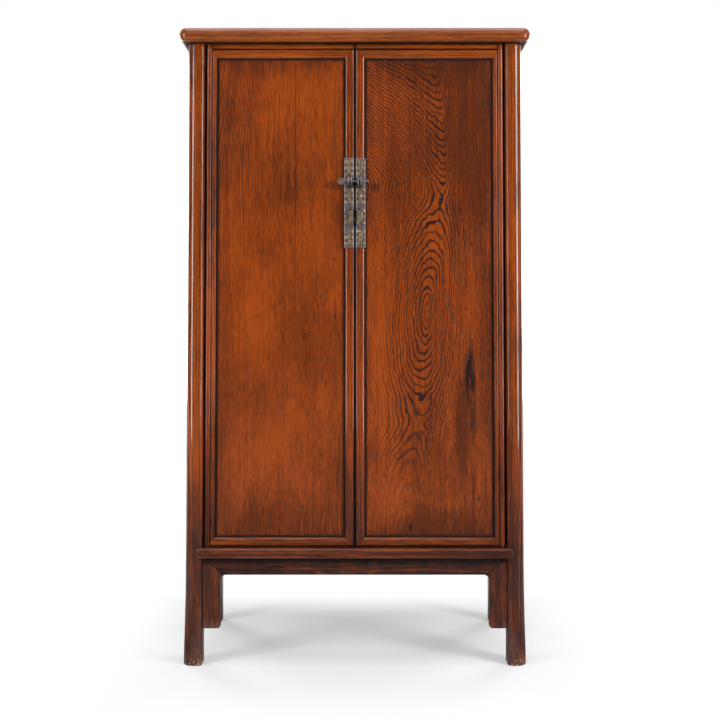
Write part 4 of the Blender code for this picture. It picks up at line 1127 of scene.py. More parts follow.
def door_and_frame_woods():
    """Woods of the door frames, the ledge, the posts, the rails and the side panels."""
    for name, wax in (("pivot_stile_upright", (0.10, 1.38)), ("door_frame_upright", (0.08, 1.60))):
        wood_material(
            name, "door", "Z", spacing=0.0055, seed=1.3, strength=0.82, roughness=0.22,
            dirt=0.56, rub=0.2, dust_and_shade_amount=0.74, quirk=1.0, wax=wax,
        )
    wood_material(
        "door_frame_level", "rail", "X", spacing=0.0055, seed=5.1, strength=0.60, roughness=0.22,
        dirt=0.25, rub=0.2, dust_and_shade_amount=0.46, quirk=1.0,
    )
    wood_material(
        "ledge_level", "door", "X", spacing=0.0075, seed=6.3, strength=1.15, roughness=0.22,
        dirt=0.75, rub=0.7, dust_and_shade_amount=0.58,
    )
    wood_material(
        "frame_upright", "frame", "Z", spacing=0.0062, seed=2.2, strength=0.90, roughness=0.20,
        dirt=0.55, dust_and_shade_amount=0.92, wax=(0.10, 1.52),
    )
    wood_material(
        "frame_level", "frame", "X", spacing=0.0058, seed=3.4, roughness=0.22, dirt=0.60, dust_and_shade_amount=1.14
    )
    wood_material("frame_deep", "frame", "Y", spacing=0.0058, seed=7.6, dirt=0.55, dust_and_shade_amount=0.85)
    wood_material(
        "side_upright", "door", "Z", spacing=0.0090, seed=5.7, strength=0.42, dirt=0.16, rub=0.30,
        dust_and_shade_amount=0.80, wax=(0.28, 1.45),
    )


def top_and_inner_woods():
    """Woods of the top and of the plainer pieces inside and behind."""
    for name, along, seed in (("top_level", "X", 3.9), ("top_deep", "Y", 7.1)):
        wood_material(
            name, "top", along, spacing=0.0090, seed=seed, strength=0.45, dirt=0.30, rub=0.20,
            wax=(0.16, 1.50),
        )
    for name, along, seed in (
        ("inner_upright", "Z", 4.4), ("inner_level", "X", 8.2), ("inner_deep", "Y", 6.5),
    ):
        wood_material(
            name, "inner", along, spacing=0.0075, seed=seed, strength=0.6, roughness=0.50, dirt=0.3,
            rub=0.2, wax=(0.32, 1.40),
        )


def make_finishes():
    """Every finish of the cabinet, once."""
    make_plank_grain()
    make_door_figure()
    make_old_finish()
    make_panel_edge()
    make_crevice_shade()
    door_and_frame_woods()
    top_and_inner_woods()
    right_panel_material()
    left_panel_material()
    brass_material()


def material(name):
    """A finish by its name."""
    return bpy.data.materials[name]


# The top

# Round nose of the top: how far in from its edge, and how far above its underside
TOP_NOSE = (
    (0.0195, 0.0), (0.0120, 0.0011), (0.0072, 0.0032), (0.0036, 0.0064), (0.0013, 0.0104),
    (0.0002, 0.0150), (0.0, 0.0195), (0.0004, 0.0240), (0.0016, 0.0283), (0.0038, 0.0323),
    (0.0070, 0.0354), (0.0108, 0.0373), (0.0145, TOP_THICKNESS),
)


def top_corners(half, side):
    """Section of a top rail at one side: a full round nose."""
    section = ((TOP_RAIL_WIDTH, 0.0), *TOP_NOSE, (TOP_RAIL_WIDTH, TOP_THICKNESS))
    return [(side * (half - inset), TOP_UNDERSIDE + up) for inset, up in section]


def round_plan(bm, radius):
    """Round the corners of the top in plan, each line of the moulding about the same centre."""
    for vert in bm.verts:
        over_x = radius - (TOP_HALF_WIDTH - abs(vert.co.x))
        over_y = radius - (TOP_HALF_DEPTH - abs(vert.co.y))
        if over_x > 0.0 and over_y > 0.0:
            factor = max(over_x, over_y) / math.hypot(over_x, over_y)
            vert.co.x -= math.copysign(over_x * (1.0 - factor), vert.co.x)
            vert.co.y -= math.copysign(over_y * (1.0 - factor), vert.co.y)


def top_rail(name, along, side):
    """A moulded rail of the top frame, mitred at both ends."""
    radius = sizes().top_corner
    length = TOP_HALF_WIDTH if along == "X" else TOP_HALF_DEPTH
    depth = TOP_HALF_DEPTH if along == "X" else TOP_HALF_WIDTH
    bm = bar(top_corners(depth, side), along, -length, length)
    axis = DIRECTIONS[along][2]
    cut_at(bm, axis, [end * (length - radius * part / 8) for end in (-1, 1) for part in range(1, 9)])
    for end in (-1, 1):
        corner = Vector((end * TOP_HALF_WIDTH, side * TOP_HALF_DEPTH, 0.0))
        facing = Vector((end, -side, 0.0))
        if along == "Y":
            corner = Vector((side * TOP_HALF_WIDTH, end * TOP_HALF_DEPTH, 0.0))
            facing = Vector((-side, end, 0.0))
        facing.normalize()
        trim(bm, corner - facing * GAP / 2, facing)
    round_plan(bm, radius)
    cut_at(bm, axis, [length * part / 10 for part in range(-8, 9)])
    finish = material("top_level" if along == "X" else "top_deep")
    place(bm, f"{name}_moulded", "carcass", [name], finish, leaning=False, sharp=0.9)


def build_top():
    """The mitred top frame and its panel."""
    top_rail("top_front_rail", "X", -1)
    top_rail("top_back_rail", "X", 1)
    top_rail("top_left_rail", "Y", -1)
    top_rail("top_right_rail", "Y", 1)
    half_x = TOP_HALF_WIDTH - TOP_RAIL_WIDTH - GAP
    half_y = TOP_HALF_DEPTH - TOP_RAIL_WIDTH - GAP
    bm = block((-half_x, half_x), (-half_y, half_y), (HEIGHT - TOP_PANEL_THICKNESS, HEIGHT))
    ease(bm, 0.0012)
    divide(bm, "X", 24)
    wander(bm, sizes().wander, 3.3)
    look = material("top_level")
    place(bm, "top_panel_board", "carcass", ["top_panel"], look, leaning=False)


# Posts and lower frame

def splay_foot(bm, side, face):
    """Sweep the foot of a post outwards and chip its lower edge."""
    for vert in bm.verts:
        splay = max(0.0, 1.0 - vert.co.z / FOOT_SPLAY_HEIGHT) ** 2
        vert.co.x += sizes().foot_splay * splay * (vert.co.x - POST_INNER_X) / POST_SIZE
        if vert.co.z < FOOT_CHIP_HEIGHT:
            chip = noise.noise(vert.co * 70.0 + Vector((side * 3.0, face * 5.0, 0.0)))
            vert.co.x -= FOOT_CHIP_DEPTH * (chip + 0.6) * (1.0 - vert.co.z / FOOT_CHIP_HEIGHT)


def build_posts():
    """Four leaning posts with worn feet, the outer corner rounded."""
    size = sizes()
    corners = (
        (POST_INNER_X, -HALF_DEPTH, size.post_inner_round), (HALF_WIDTH, -HALF_DEPTH, size.post_round),
        (HALF_WIDTH, -POST_INNER_Y, 0.004), (POST_INNER_X, -POST_INNER_Y, 0.002),
    )
    for index, (face_name, face) in enumerate((("front", -1), ("back", 1))):
        for side_name, side in SIDES:
            bm = bar(corners, "Z", 0.0, TOP_UNDERSIDE - GAP)
            foot = [edge for edge in bm.edges if all(vert.co.z < 1e-6 for vert in edge.verts)]
            ease(bm, size.foot_wear, 4, chosen=foot)
            divide(bm, "Z", size.cuts)
            splay_foot(bm, side, face)
            wander(bm, size.wander * 1.6, 2.0 + side + 3.0 * index)
            if face > 0:
                to_back = Matrix.Diagonal((1.0, -1.0, 1.0, 1.0))
                bmesh.ops.transform(bm, matrix=to_back, verts=bm.verts[:])
            name = f"{face_name}_{side_name}_post"
            place(bm, f"{name}_rounded", "carcass", [name], material("frame_upright"), side)


def build_sill():
    """The sill with its rounded ledge, worn at both ends."""
    size = sizes()
    neck = POST_INNER_X - GAP
    shoulder = -HALF_DEPTH - GAP
    corners = (
        (-LEDGE_REACH, shoulder), (-LEDGE_REACH, LEDGE_FRONT, LEDGE_CORNER),
        (LEDGE_REACH, LEDGE_FRONT, LEDGE_CORNER), (LEDGE_REACH, shoulder),
    )
    bm = bar(corners, "Z", LEDGE_BOTTOM, SILL_TOP)
    nose = []
    for edge in bm.edges:
        level = abs(edge.verts[0].co.z - edge.verts[1].co.z) < 1e-6
        ahead = any(vert.co.y < shoulder - 1e-4 for vert in edge.verts)
        if level and ahead:
            nose.append(edge)
    ease(bm, size.ledge_round, 5, chosen=nose)
    add_to(bm, block((-neck, neck), (SILL_INNER_Y, shoulder + GAP), (SILL_BOTTOM, SILL_TOP)))
    divide(bm, "X", 60)
    wander(bm, size.wander, 9.1)
    for vert in bm.verts:
        if vert.co.y < shoulder and abs(vert.co.x) > LEDGE_REACH - LEDGE_WEAR_LENGTH:
            vert.co.y += LEDGE_WEAR * max(0.0, noise.noise(vert.co * 160.0) + 0.3)
    place(bm, "sill_with_ledge", "carcass", ["front_sill_rail"], material("ledge_level"))


def build_lower_frame():
    """The sill with its ledge, and the lower rails."""
    size = sizes()
    build_sill()
    reach = POST_INNER_Y - GAP
    for side_name, side in SIDES:
        across = (POST_INNER_X + SIDE_RAIL_INSET, HALF_WIDTH - SIDE_RAIL_SINK)
        bm = block(across, (-reach, reach), (SILL_BOTTOM, SILL_TOP))
        ease(bm, 0.003, 3)
        divide(bm, "Y", 16)
        wander(bm, size.wander, 4.0 + side)
        name = f"{side_name}_lower_rail"
        place(bm, f"{name}_eased", "carcass", [name], material("frame_deep"), side)
    neck = POST_INNER_X - GAP
    rear = HALF_DEPTH - BACK_RAIL_SINK
    bm = block((-neck, neck), (rear - BACK_RAIL_DEPTH, rear), (SILL_BOTTOM, SILL_TOP))
    ease(bm, 0.002, 3)
    divide(bm, "X", 24)
    wander(bm, size.wander, 6.0)
    look = material("inner_level")
    place(bm, "back_lower_rail_eased", "carcass", ["back_lower_rail"], look)


def apron_shape(reach, along, low, high):
    """An apron with the spandrels at its ends, in one piece."""
    inner = reach - SPANDREL_WIDTH
    foot = SILL_BOTTOM - SPANDREL_DROP
    bottom = SILL_BOTTOM - APRON_HEIGHT
    fillet = sizes().apron_fillet
    corners = (
        (-reach, SILL_BOTTOM - GAP), (reach, SILL_BOTTOM - GAP), (reach, foot),
        (inner, foot, SPANDREL_CORNER), (inner, bottom, fillet), (-inner, bottom, fillet),
        (-inner, foot, SPANDREL_CORNER), (-reach, foot),
    )
    return bar(corners, along, low, high)


def mitre_plane(reach, along, end):
    """Place and facing of the mitre between an apron and the spandrel at one end."""
    across = DIRECTIONS[along][0]
    spot = Vector((0.0, 0.0, SILL_BOTTOM - GAP))
    spot[across] = end * reach
    facing = Vector((0.0, 0.0, -SPANDREL_WIDTH))
    facing[across] = end * APRON_HEIGHT
    facing.normalize()
    return spot, facing


def finish_apron(bm, name, look, seed, side=1):
    """Ease an apron piece and put it in its place."""
    ease(bm, 0.0018, 3)
    divide(bm, "X", 12)
    divide(bm, "Z", 8)
    wander(bm, sizes().wander, seed)
    place(bm, f"{name}_shaped", "carcass", [name], material(look), side)


def apron_set(names, reach, along, low, high, level_look, seed, side=1):
    """An apron board and its two spandrels, cut apart at their mitres."""
    bm = apron_shape(reach, along, low, high)
    for end in (-1, 1):
        spot, facing = mitre_plane(reach, along, end)
        trim(bm, spot - facing * GAP, facing)
    finish_apron(bm, names[0], level_look, seed, side)
    for name, end in zip(names[1:], (-1, 1)):
        bm = apron_shape(reach, along, low, high)
        spot, facing = mitre_plane(reach, along, end)
        trim(bm, spot + facing * GAP, -facing)
        middle = Vector()
        middle[DIRECTIONS[along][0]] = -end
        trim(bm, Vector(), middle)
        finish_apron(bm, name, "frame_upright", seed + end, side)


def build_aprons():
    """Aprons with hanging spandrels at the front and the sides, and a plain one at the back."""
    reach_x = POST_INNER_X - GAP
    reach_y = POST_INNER_Y - GAP
    names = ("front_apron", "front_apron_left_spandrel", "front_apron_right_spandrel")
    outer = HALF_DEPTH - APRON_SINK
    inner = outer - APRON_THICKNESS
    apron_set(names, reach_x, "Y", -outer, -inner, "frame_level", 1.7)
    for side_name, side in SIDES:
        apron = f"{side_name}_apron"
        names = (apron, f"{apron}_front_spandrel", f"{apron}_back_spandrel")
        side_face = HALF_WIDTH - APRON_SINK
        side_back = side_face - APRON_THICKNESS
        apron_set(names, reach_y, "X", side_back, side_face, "frame_deep", 5.0 + side, side)
    bm = block((-reach_x, reach_x), (inner, outer), (SILL_BOTTOM - APRON_HEIGHT, SILL_BOTTOM - GAP))
    ease(bm, 0.0018, 3)
    divide(bm, "X", 24)
    wander(bm, sizes().wander, 8.0)
    place(bm, "back_apron_eased", "carcass", ["back_apron"], material("inner_level"))


def build_walls():
    """Side panels, back boards and the muntin between them."""
    size = sizes()
    reach = POST_INNER_Y + WALL_TONGUE
    wall_z = (SILL_TOP - WALL_GROOVE, TOP_UNDERSIDE + WALL_GROOVE)
    side_face = HALF_WIDTH - SIDE_WALL_SINK
    back_face = HALF_DEPTH - BACK_WALL_SINK
    for side_name, side in SIDES:
        bm = block((side_face - WALL_THICKNESS, side_face), (-reach, reach), wall_z)
        divide(bm, "Z", 24)
        divide(bm, "Y", 8)
        wander(bm, size.wander * 2.0, 12.0 + side)
        name = f"{side_name}_side_panel"
        place(bm, f"{name}_board", "carcass", [name], material("side_upright"), side)
        across = (MUNTIN_HALF_WIDTH - MUNTIN_GROOVE, POST_INNER_X + WALL_TONGUE)
        bm = block(across, (back_face - WALL_THICKNESS, back_face), wall_z)
        divide(bm, "Z", 24)
        divide(bm, "X", 8)
        wander(bm, size.wander * 2.0, 15.0 + side)
        name = f"back_{side_name}_board"
        place(bm, f"{name}_planed", "carcass", [name], material("inner_upright"), side)
    rear = HALF_DEPTH - BACK_RAIL_SINK
    upright = (SILL_TOP + GAP, TOP_UNDERSIDE - GAP)
    bm = block((-MUNTIN_HALF_WIDTH, MUNTIN_HALF_WIDTH), (rear - MUNTIN_THICKNESS, rear), upright)
    ease(bm, 0.003, 3)
    divide(bm, "Z", 24)
    wander(bm, size.wander, 17.0)
    place(bm, "back_muntin_eased", "carcass", ["back_muntin"], material("inner_upright"))


def dress_interior():
    """Finishes of the shelves, bearers, floor and battens, whose solids keep their shape."""
    looks = {
        "lower_shelf": "inner_level", "upper_shelf": "inner_level", "floor_panel": "inner_level",
        "top_batten": "inner_deep",
    }
    for side_name, _ in SIDES:
        for level in ("lower", "upper"):
            looks[f"{side_name}_{level}_bearer"] = "inner_deep"
            looks[f"{side_name}_door_{level}_batten"] = "inner_level"
    for name, look in looks.items():
        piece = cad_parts[name]
        piece.data.materials.clear()
        piece.data.materials.append(material(look))


# Doors

def moulding(inner, outward, width):
    """Section of a door's frame: a narrow sunk border round the panel and a crowned face."""
    face_width = width - BORDER_WIDTH
    crown = min(CROWN_FALL, 0.34 * face_width)
    section = [
        (0.0, DOOR_BACK), (0.0, DOOR_FACE + 0.0064), (0.0010, DOOR_FACE + 0.0060),
        (BORDER_WIDTH, DOOR_FACE + 0.0054),
    ]
    for part in range(13):
        across = part / 6 - 1.0
        fall = crown * (1.0 - math.sqrt(1.0 - 0.86 * abs(across) ** 3.4)) / (1.0 - math.sqrt(0.14))
        section.append((BORDER_WIDTH + face_width * part / 12, DOOR_FACE + fall))
    section.append((width, DOOR_BACK))
    return [(inner + outward * across, deep) for across, deep in section]


def door_rail(name, body, side, inner, outward, height):
    """A door rail mitred into the stiles, rounded where it meets the pivot band."""
    corners = [(deep, up) for up, deep in moulding(inner, outward, height)]
    bm = bar(corners, "X", MEETING_EDGE, BAND_EDGE)
    edge_z = inner + outward * height
    chosen = []
    for edge in bm.edges:
        at_end = all(vert.co.x > BAND_EDGE - 1e-5 for vert in edge.verts)
        outermost = all(abs(vert.co.z - edge_z) < 0.003 for vert in edge.verts)
        across = abs(edge.verts[0].co.y - edge.verts[1].co.y) > 0.01
        if at_end and outermost and across:
            chosen.append(edge)
    ease(bm, 0.007, 5, chosen=chosen)
    trim(bm, Vector((STILE_INNER, 0.0, inner)), Vector((1.0, 0.0, -outward)).normalized())
    trim(bm, Vector((MEETING_INNER, 0.0, inner)), Vector((-1.0, 0.0, -outward)).normalized())
    divide(bm, "X", 14)
    wander(bm, sizes().wander * 0.6, 20.0 + side + outward)
    place(bm, f"{name}_moulded", body, [name], material("door_frame_level"), side)


def mitred_stile(corners, inner, outward):
    """A moulded upright between the mitres of the two rails."""
    bm = bar(corners, "Z", DOOR_BOTTOM, DOOR_TOP)
    trim(bm, Vector((inner, 0.0, PANEL_TOP)), Vector((-outward, 0.0, 1.0)).normalized())
    trim(bm, Vector((inner, 0.0, PANEL_FOOT)), Vector((-outward, 0.0, -1.0)).normalized())
    return bm


def pivot_disc(radius, at):
    """A disc on the pivot axis at a height."""
    bm = bmesh.new()
    middle = Matrix.Translation((AXIS_X, AXIS_Y, at))
    bmesh.ops.create_circle(bm, cap_ends=True, segments=24, radius=radius, matrix=middle)
    return bm


def pivot_stile(name, body, side):
    """The pivot stile: a half-round band on the axis beside the moulded frame."""
    bm = mitred_stile(moulding(STILE_INNER, 1, BAND_EDGE - STILE_INNER), STILE_INNER, 1)
    round_edge = BAND_RADIUS * 0.97
    corners = (
        (BAND_EDGE, DOOR_FACE, round_edge), (AXIS_X + BAND_RADIUS, DOOR_FACE, round_edge),
        (AXIS_X + BAND_RADIUS, DOOR_BACK, 0.002), (BAND_EDGE, DOOR_BACK),
    )
    add_to(bm, bar(corners, "Z", DOOR_BOTTOM, DOOR_TOP))
    neck_root = DOOR_TOP - 0.004
    neck_end = TOP_UNDERSIDE - 0.001
    add_to(bm, draw_out(pivot_disc(BAND_RADIUS - GAP, neck_root), "Z", neck_end - neck_root))
    pivot_end = SILL_TOP - 0.013
    pivot_root = DOOR_BOTTOM + 0.007
    add_to(bm, draw_out(pivot_disc(PIVOT_RADIUS, pivot_end), "Z", pivot_root - pivot_end))
    divide(bm, "Z", sizes().cuts)
    wander(bm, sizes().wander * 0.6, 23.0 + side)
    place(bm, f"{name}_banded", body, [name], material("pivot_stile_upright"), side)


def meeting_stile(name, body, side):
    """The stile along the middle of the cabinet."""
    bm = mitred_stile(moulding(MEETING_INNER, -1, MEETING_STILE_WIDTH), MEETING_INNER, -1)
    divide(bm, "Z", sizes().cuts)
    wander(bm, sizes().wander * 0.6, 26.0 + side)
    place(bm, f"{name}_moulded", body, [name], material("door_frame_upright"), side)


def build_doors():
    """Two doors of mitred stiles and rails round a panel, and the strip above them."""
    for side_name, side in SIDES:
        body = f"{side_name}_door"
        pivot_stile(f"{body}_pivot_stile", body, side)
        meeting_stile(f"{body}_meeting_stile", body, side)
        door_rail(f"{body}_top_rail", body, side, PANEL_TOP, 1, DOOR_TOP - PANEL_TOP)
        door_rail(f"{body}_bottom_rail", body, side, PANEL_FOOT, -1, PANEL_FOOT - DOOR_BOTTOM)
        bm = block(
            (MEETING_INNER - PANEL_TONGUE, STILE_INNER + PANEL_TONGUE), (PANEL_FRONT, PANEL_BACK),
            (PANEL_FOOT - PANEL_TONGUE, PANEL_TOP + PANEL_TONGUE),
        )
        divide(bm, "Z", 30)
        divide(bm, "X", 10)
        wander(bm, sizes().wander, 31.0 + side, 4.0)
        look = material("straight_door_panel" if side < 0 else "figured_door_panel")
        place(bm, f"{body}_panel_board", body, [f"{body}_panel"], look, side)
    end = BAND_EDGE - 2 * GAP
    corners = (
        (DOOR_FACE, STRIP_BOTTOM, STRIP_ROUND), (DOOR_FACE, TOP_UNDERSIDE - GAP, STRIP_ROUND),
        (DOOR_BACK, TOP_UNDERSIDE - GAP), (DOOR_BACK, STRIP_BOTTOM),
    )
    bm = bar(corners, "X", -end, end)
    divide(bm, "X", 24)
    wander(bm, sizes().wander, 35.0)
    look = material("door_frame_level")
    place(bm, "head_strip_rounded", "carcass", ["door_head_strip"], look)


# Brass plates, lock and pulls

def plate_scrolls():
    """Scrolls of a face plate: across, up, radius, hand and turn, from its lower inner corner."""
    scrolls = []
    for field, low in enumerate(PLATE_FIELDS):
        for row in range(5):
            up = low + 0.0062 + 0.0086 * row
            turn = 40.0 + 97.0 * row + 55.0 * field
            if row % 2:
                scrolls.append((FIELD_MIDDLE, up, 0.0056, -1, turn))
            else:
                scrolls.append((FIELD_MIDDLE - 0.006, up, 0.0063, 1, turn))
                scrolls.append((FIELD_MIDDLE + 0.006, up, 0.0063, -1, 180.0 - turn))
    return scrolls


def ridge(far, half):
    """A round ridge of this half width."""
    return math.sqrt(max(0.0, 1.0 - (far / half) ** 2)) if far < half else 0.0


def scroll_height(across, up, scrolls):
    """Height, from 0 to 1, of a spread of curled tendrils."""
    best = 0.0
    for middle_x, middle_z, radius, hand, turn in scrolls:
        dx = across - middle_x
        dz = up - middle_z
        far = math.hypot(dx, dz)
        if far > radius:
            continue
        angle = hand * math.atan2(dz, dx) / (2.0 * math.pi) + turn / 360.0
        pitch = radius / 1.9
        loose = (far / pitch - angle) % 1.0
        best = max(best, ridge(abs(loose - 0.5), 0.36) * min(1.0, (radius - far) / 0.0012))
        best = max(best, ridge(far, radius * 0.24))
    return best


def plate_gilding(across, up):
    """How golden a face plate is: full in its scrolled fields and none between them."""
    nearest = min(abs(up - low - FIELD_HEIGHT / 2) for low in PLATE_FIELDS)
    in_field = min(1.0, max(0.0, (FIELD_HEIGHT / 2 + 0.002 - nearest) / 0.006))
    return in_field * min(1.0, max(0.0, (0.0118 - abs(across - FIELD_MIDDLE)) / 0.004))


def plate_painted_shade(across, up):
    """Painted shade of a face plate: beside and under its lug, and along its inner edge at the gap between
    the doors.
    """
    below_lug = LUG_Z - PLATE_BOTTOM - up
    between = abs(below_lug) < 0.0105 and across < 0.0056
    beneath = 0.0120 < below_lug < 0.0165 and across < 0.0190
    return 0.92 if between or beneath or across < 0.0016 else 0.0


def face_plate(side_name, side):
    """A brass plate with a beaded border and raised tendrils."""
    low_x = MEETING_EDGE + PLATE_MARGIN
    high_x = MEETING_INNER - PLATE_MARGIN
    half_x = (high_x - low_x) / 2
    half_z = PLATE_HEIGHT / 2
    bm = bmesh.new()
    middle = Matrix.Translation((low_x + half_x, PLATE_FACE + 0.0006, PLATE_BOTTOM + half_z))
    upright = Matrix.Rotation(math.pi / 2, 4, "X") @ Matrix.Diagonal((half_x, half_z, 1.0, 1.0))
    bmesh.ops.create_grid(bm, x_segments=44, y_segments=380, size=1.0, matrix=middle @ upright)
    relief_layer = bm.verts.layers.float.new("relief")
    gilt_layer = bm.verts.layers.float.new("gilt")
    shade_layer = bm.verts.layers.float.new("soot")
    scrolls = plate_scrolls()
    relief = sizes().relief
    rim = [edge for edge in bm.edges if edge.is_boundary]
    for vert in bm.verts:
        across = vert.co.x - low_x
        up = vert.co.z - PLATE_BOTTOM
        height = scroll_height(across, up, scrolls)
        vert[relief_layer] = height
        vert[gilt_layer] = plate_gilding(across, up)
        vert[shade_layer] = plate_painted_shade(across, up)
        inset = min(across, 2 * half_x - across, up, PLATE_HEIGHT - up)
        slope = 0.0010 * max(0.0, (across - 0.020) / 0.0083) ** 1.5
        fall = 0.0008 * max(0.0, 1.0 - inset / 0.0012)
        fall = max(fall, 0.0017 * max(0.0, 1.0 - across / 0.0030))
        dent = 0.00012 * noise.noise(Vector((vert.co.x * 160.0, side * 2.0, vert.co.z * 90.0)))
        vert.co.y += slope + fall + dent - relief * height
    back_edges = []
    for part in bmesh.ops.extrude_edge_only(bm, edges=rim)["geom"]:
        if isinstance(part, bmesh.types.BMVert):
            part.co.y = PLATE_BACK
        elif isinstance(part, bmesh.types.BMEdge) and part.is_boundary:
            back_edges.append(part)
    bmesh.ops.contextual_create(bm, geom=back_edges)
    name = f"{side_name}_face_plate"
    brass = material("aged_brass_finish")
    place(bm, f"{name}_scrolled", f"{side_name}_door", [name], brass, side)


def build_plates():
    """A face plate on each meeting stile."""
    for side_name, side in SIDES:
        face_plate(side_name, side)


def lug_slice(low_x, high_x, shrink):
    """A slice of a lock lug with the bore for the pin."""
    half = LUG_HALF_HEIGHT - shrink
    corners = (
        (LUG_FRONT + shrink, LUG_Z - half, LUG_ROUND), (LUG_FRONT + shrink, LUG_Z + half, LUG_ROUND),
        (PLATE_FACE + FITTING_SEAT, LUG_Z + half), (PLATE_FACE + FITTING_SEAT, LUG_Z - half),
    )
    bm = face_from(corners, "X", low_x)
    bmesh.ops.delete(bm, geom=bm.faces[:], context="FACES_ONLY")
    outer = bm.edges[:]
    turn = Matrix.Translation((low_x, PIN_Y, LUG_Z)) @ Matrix.Rotation(math.pi / 2, 4, "Y")
    made = bmesh.ops.create_circle(bm, cap_ends=False, segments=20, radius=LUG_BORE, matrix=turn)["verts"]
    inner = [edge for edge in bm.edges if edge not in outer and edge.verts[0] in made]
    bmesh.ops.bridge_loops(bm, edges=outer + inner)
    draw_out(bm, "X", high_x - low_x)
    ease(bm, 0.0006, 2, 0.9)
    layer = bm.faces.layers.float.get("arris")
    # Front faces of the full ribs are marked as arris: rubbed, lighter brass that also serves as a painted
    # highlight
    for face in bm.faces:
        face[layer] = 0.9 if shrink == 0.0 and face.normal.y < -0.6 else 0.0
    # The sunk middle slice of a lug gets painted shade
    shade_layer = bm.verts.layers.float.new("soot")
    for vert in bm.verts:
        vert[shade_layer] = 0.75 if shrink > 0.0 else 0.0
    return bm


def leaf(points, thickness, crown, gilded):
    """A flat leaf drawn as (across, up, radius), with a sunk field and a raised heart."""
    bm = face_from(points, "Y", -thickness / 2)
    bmesh.ops.recalc_face_normals(bm, faces=bm.faces[:])
    field = bm.faces[:]
    if field[0].normal.y > 0:
        bmesh.ops.reverse_faces(bm, faces=field)
    draw_out(bm, "Y", thickness)
    front = [face for face in bm.faces if face.normal.y < -0.9]
    bmesh.ops.inset_region(bm, faces=front, thickness=crown * 1.1, depth=crown * 0.35)
    front = [face for face in bm.faces if face.normal.y < -0.9 and len(face.verts) > 8]
    bmesh.ops.inset_region(bm, faces=front, thickness=crown * 0.7, depth=-crown * 0.75)
    front = [face for face in bm.faces if face.normal.y < -0.9 and len(face.verts) > 8]
    bmesh.ops.inset_region(bm, faces=front, thickness=crown * 1.0, depth=crown * 0.9)
    layer = bm.faces.layers.float.get("arris") or bm.faces.layers.float.new("arris")
    for face in bm.faces:
        if len(face.verts) == 4 and face.normal.y < -0.2:
            face[layer] = 0.35
    field_layer = bm.verts.layers.float.new("gilt")
    relief_layer = bm.verts.layers.float.new("relief")
    for vert in bm.verts:
        vert[field_layer] = gilded
        vert[relief_layer] = 0.75
    return bm


def spun(profile, axis_point, axis, steps=24):
    """A few points turned all the way round an axis."""
    bm = bmesh.new()
    verts = [bm.verts.new(point) for point in profile]
    edges = [bm.edges.new(pair) for pair in zip(verts, verts[1:])]
    bmesh.ops.spin(
        bm, geom=verts + edges, cent=axis_point, axis=axis, dvec=(0.0, 0.0, 0.0),
        angle=2.0 * math.pi, steps=steps, use_merge=True, use_duplicate=False,
    )
    bmesh.ops.remove_doubles(bm, verts=bm.verts[:], dist=MERGE_DISTANCE)
    bmesh.ops.recalc_face_normals(bm, faces=bm.faces[:])
    return bm


# The turned pin: place along it from its shoulder, and radius
PIN_PROFILE = (
    (-0.003, 0.0), (-0.003, 0.0022), (0.0, 0.0032), (0.0006, 0.0050), (0.0022, 0.0050),
    (0.0028, 0.0036), (0.0050, 0.0036), (0.0056, 0.0048), (0.0074, 0.0048), (0.0080, 0.0027),
    (0.0647, 0.0027), (0.0674, 0.0020), (0.0682, 0.0),
)
# Upper half of the pin's leaf head from root to tip: place from the shoulder, height and corner radius
PIN_LEAF = (
    (-0.0005, 0.0030, 0.001), (-0.0030, 0.0086, 0.002), (-0.0090, 0.0094, 0.004),
    (-0.0170, 0.0068, 0.004), (-0.0238, 0.0, 0.002),
)
# Right half of a pull's leaf from root to tip: place across, height and corner radius
PULL_LEAF = (
    (0.0086, -0.0050, 0.002), (0.0080, -0.0150, 0.004), (0.0108, -0.0290, 0.006),
    (0.0092, -0.0390, 0.005), (0.0, -0.0470, 0.002),
)
# One of the two ears by which a pull hangs
PULL_EAR = ((-0.0011, -0.0078), (0.0011, -0.0078), (0.0013, 0.0020, 0.001), (-0.0013, 0.0020, 0.001))
# Axle of a pull and rose of its eye: place along the axis, and radius
PULL_AXLE = ((-0.0060, 0.0), (-0.0060, 0.0011), (0.0060, 0.0011), (0.0060, 0.0))
EYE_ROSE = ((0.0, 0.0), (0.0, 0.0050), (0.0010, 0.0046), (0.0016, 0.0026), (0.0045, 0.0016), (0.0050, 0.0))
EYE_RADIUS = 0.0029
EYE_WIRE = 0.0012


def build_lock():
    """The two ribbed lugs and the pin with its leaf head."""
    brass = material("aged_brass_finish")
    low = MEETING_EDGE + 0.006
    for side_name, side in SIDES:
        bm = lug_slice(low, low + 0.0036, 0.0)
        add_to(bm, lug_slice(low + 0.0034, low + 0.0086, 0.0016))
        add_to(bm, lug_slice(low + 0.0084, low + 0.012, 0.0))
        name = f"{side_name}_lock_lug"
        place(bm, f"{name}_ribbed", f"{side_name}_door", [name], brass, side)
    points = [Vector((PIN_SHOULDER + along, PIN_Y - radius, LUG_Z)) for along, radius in PIN_PROFILE]
    bm = spun(points, (0.0, PIN_Y, LUG_Z), (1.0, 0.0, 0.0))
    lower_half = [(along, -up, radius) for along, up, radius in reversed(PIN_LEAF[:-1])]
    head = leaf((*PIN_LEAF, *lower_half), 0.0036, 0.0011, 0.0)
    bmesh.ops.translate(head, verts=head.verts[:], vec=(PIN_SHOULDER, PIN_Y, LUG_Z))
    add_to(bm, head)
    place(bm, "lock_pin_turned", "lock_pin", ["lock_pin"], brass)


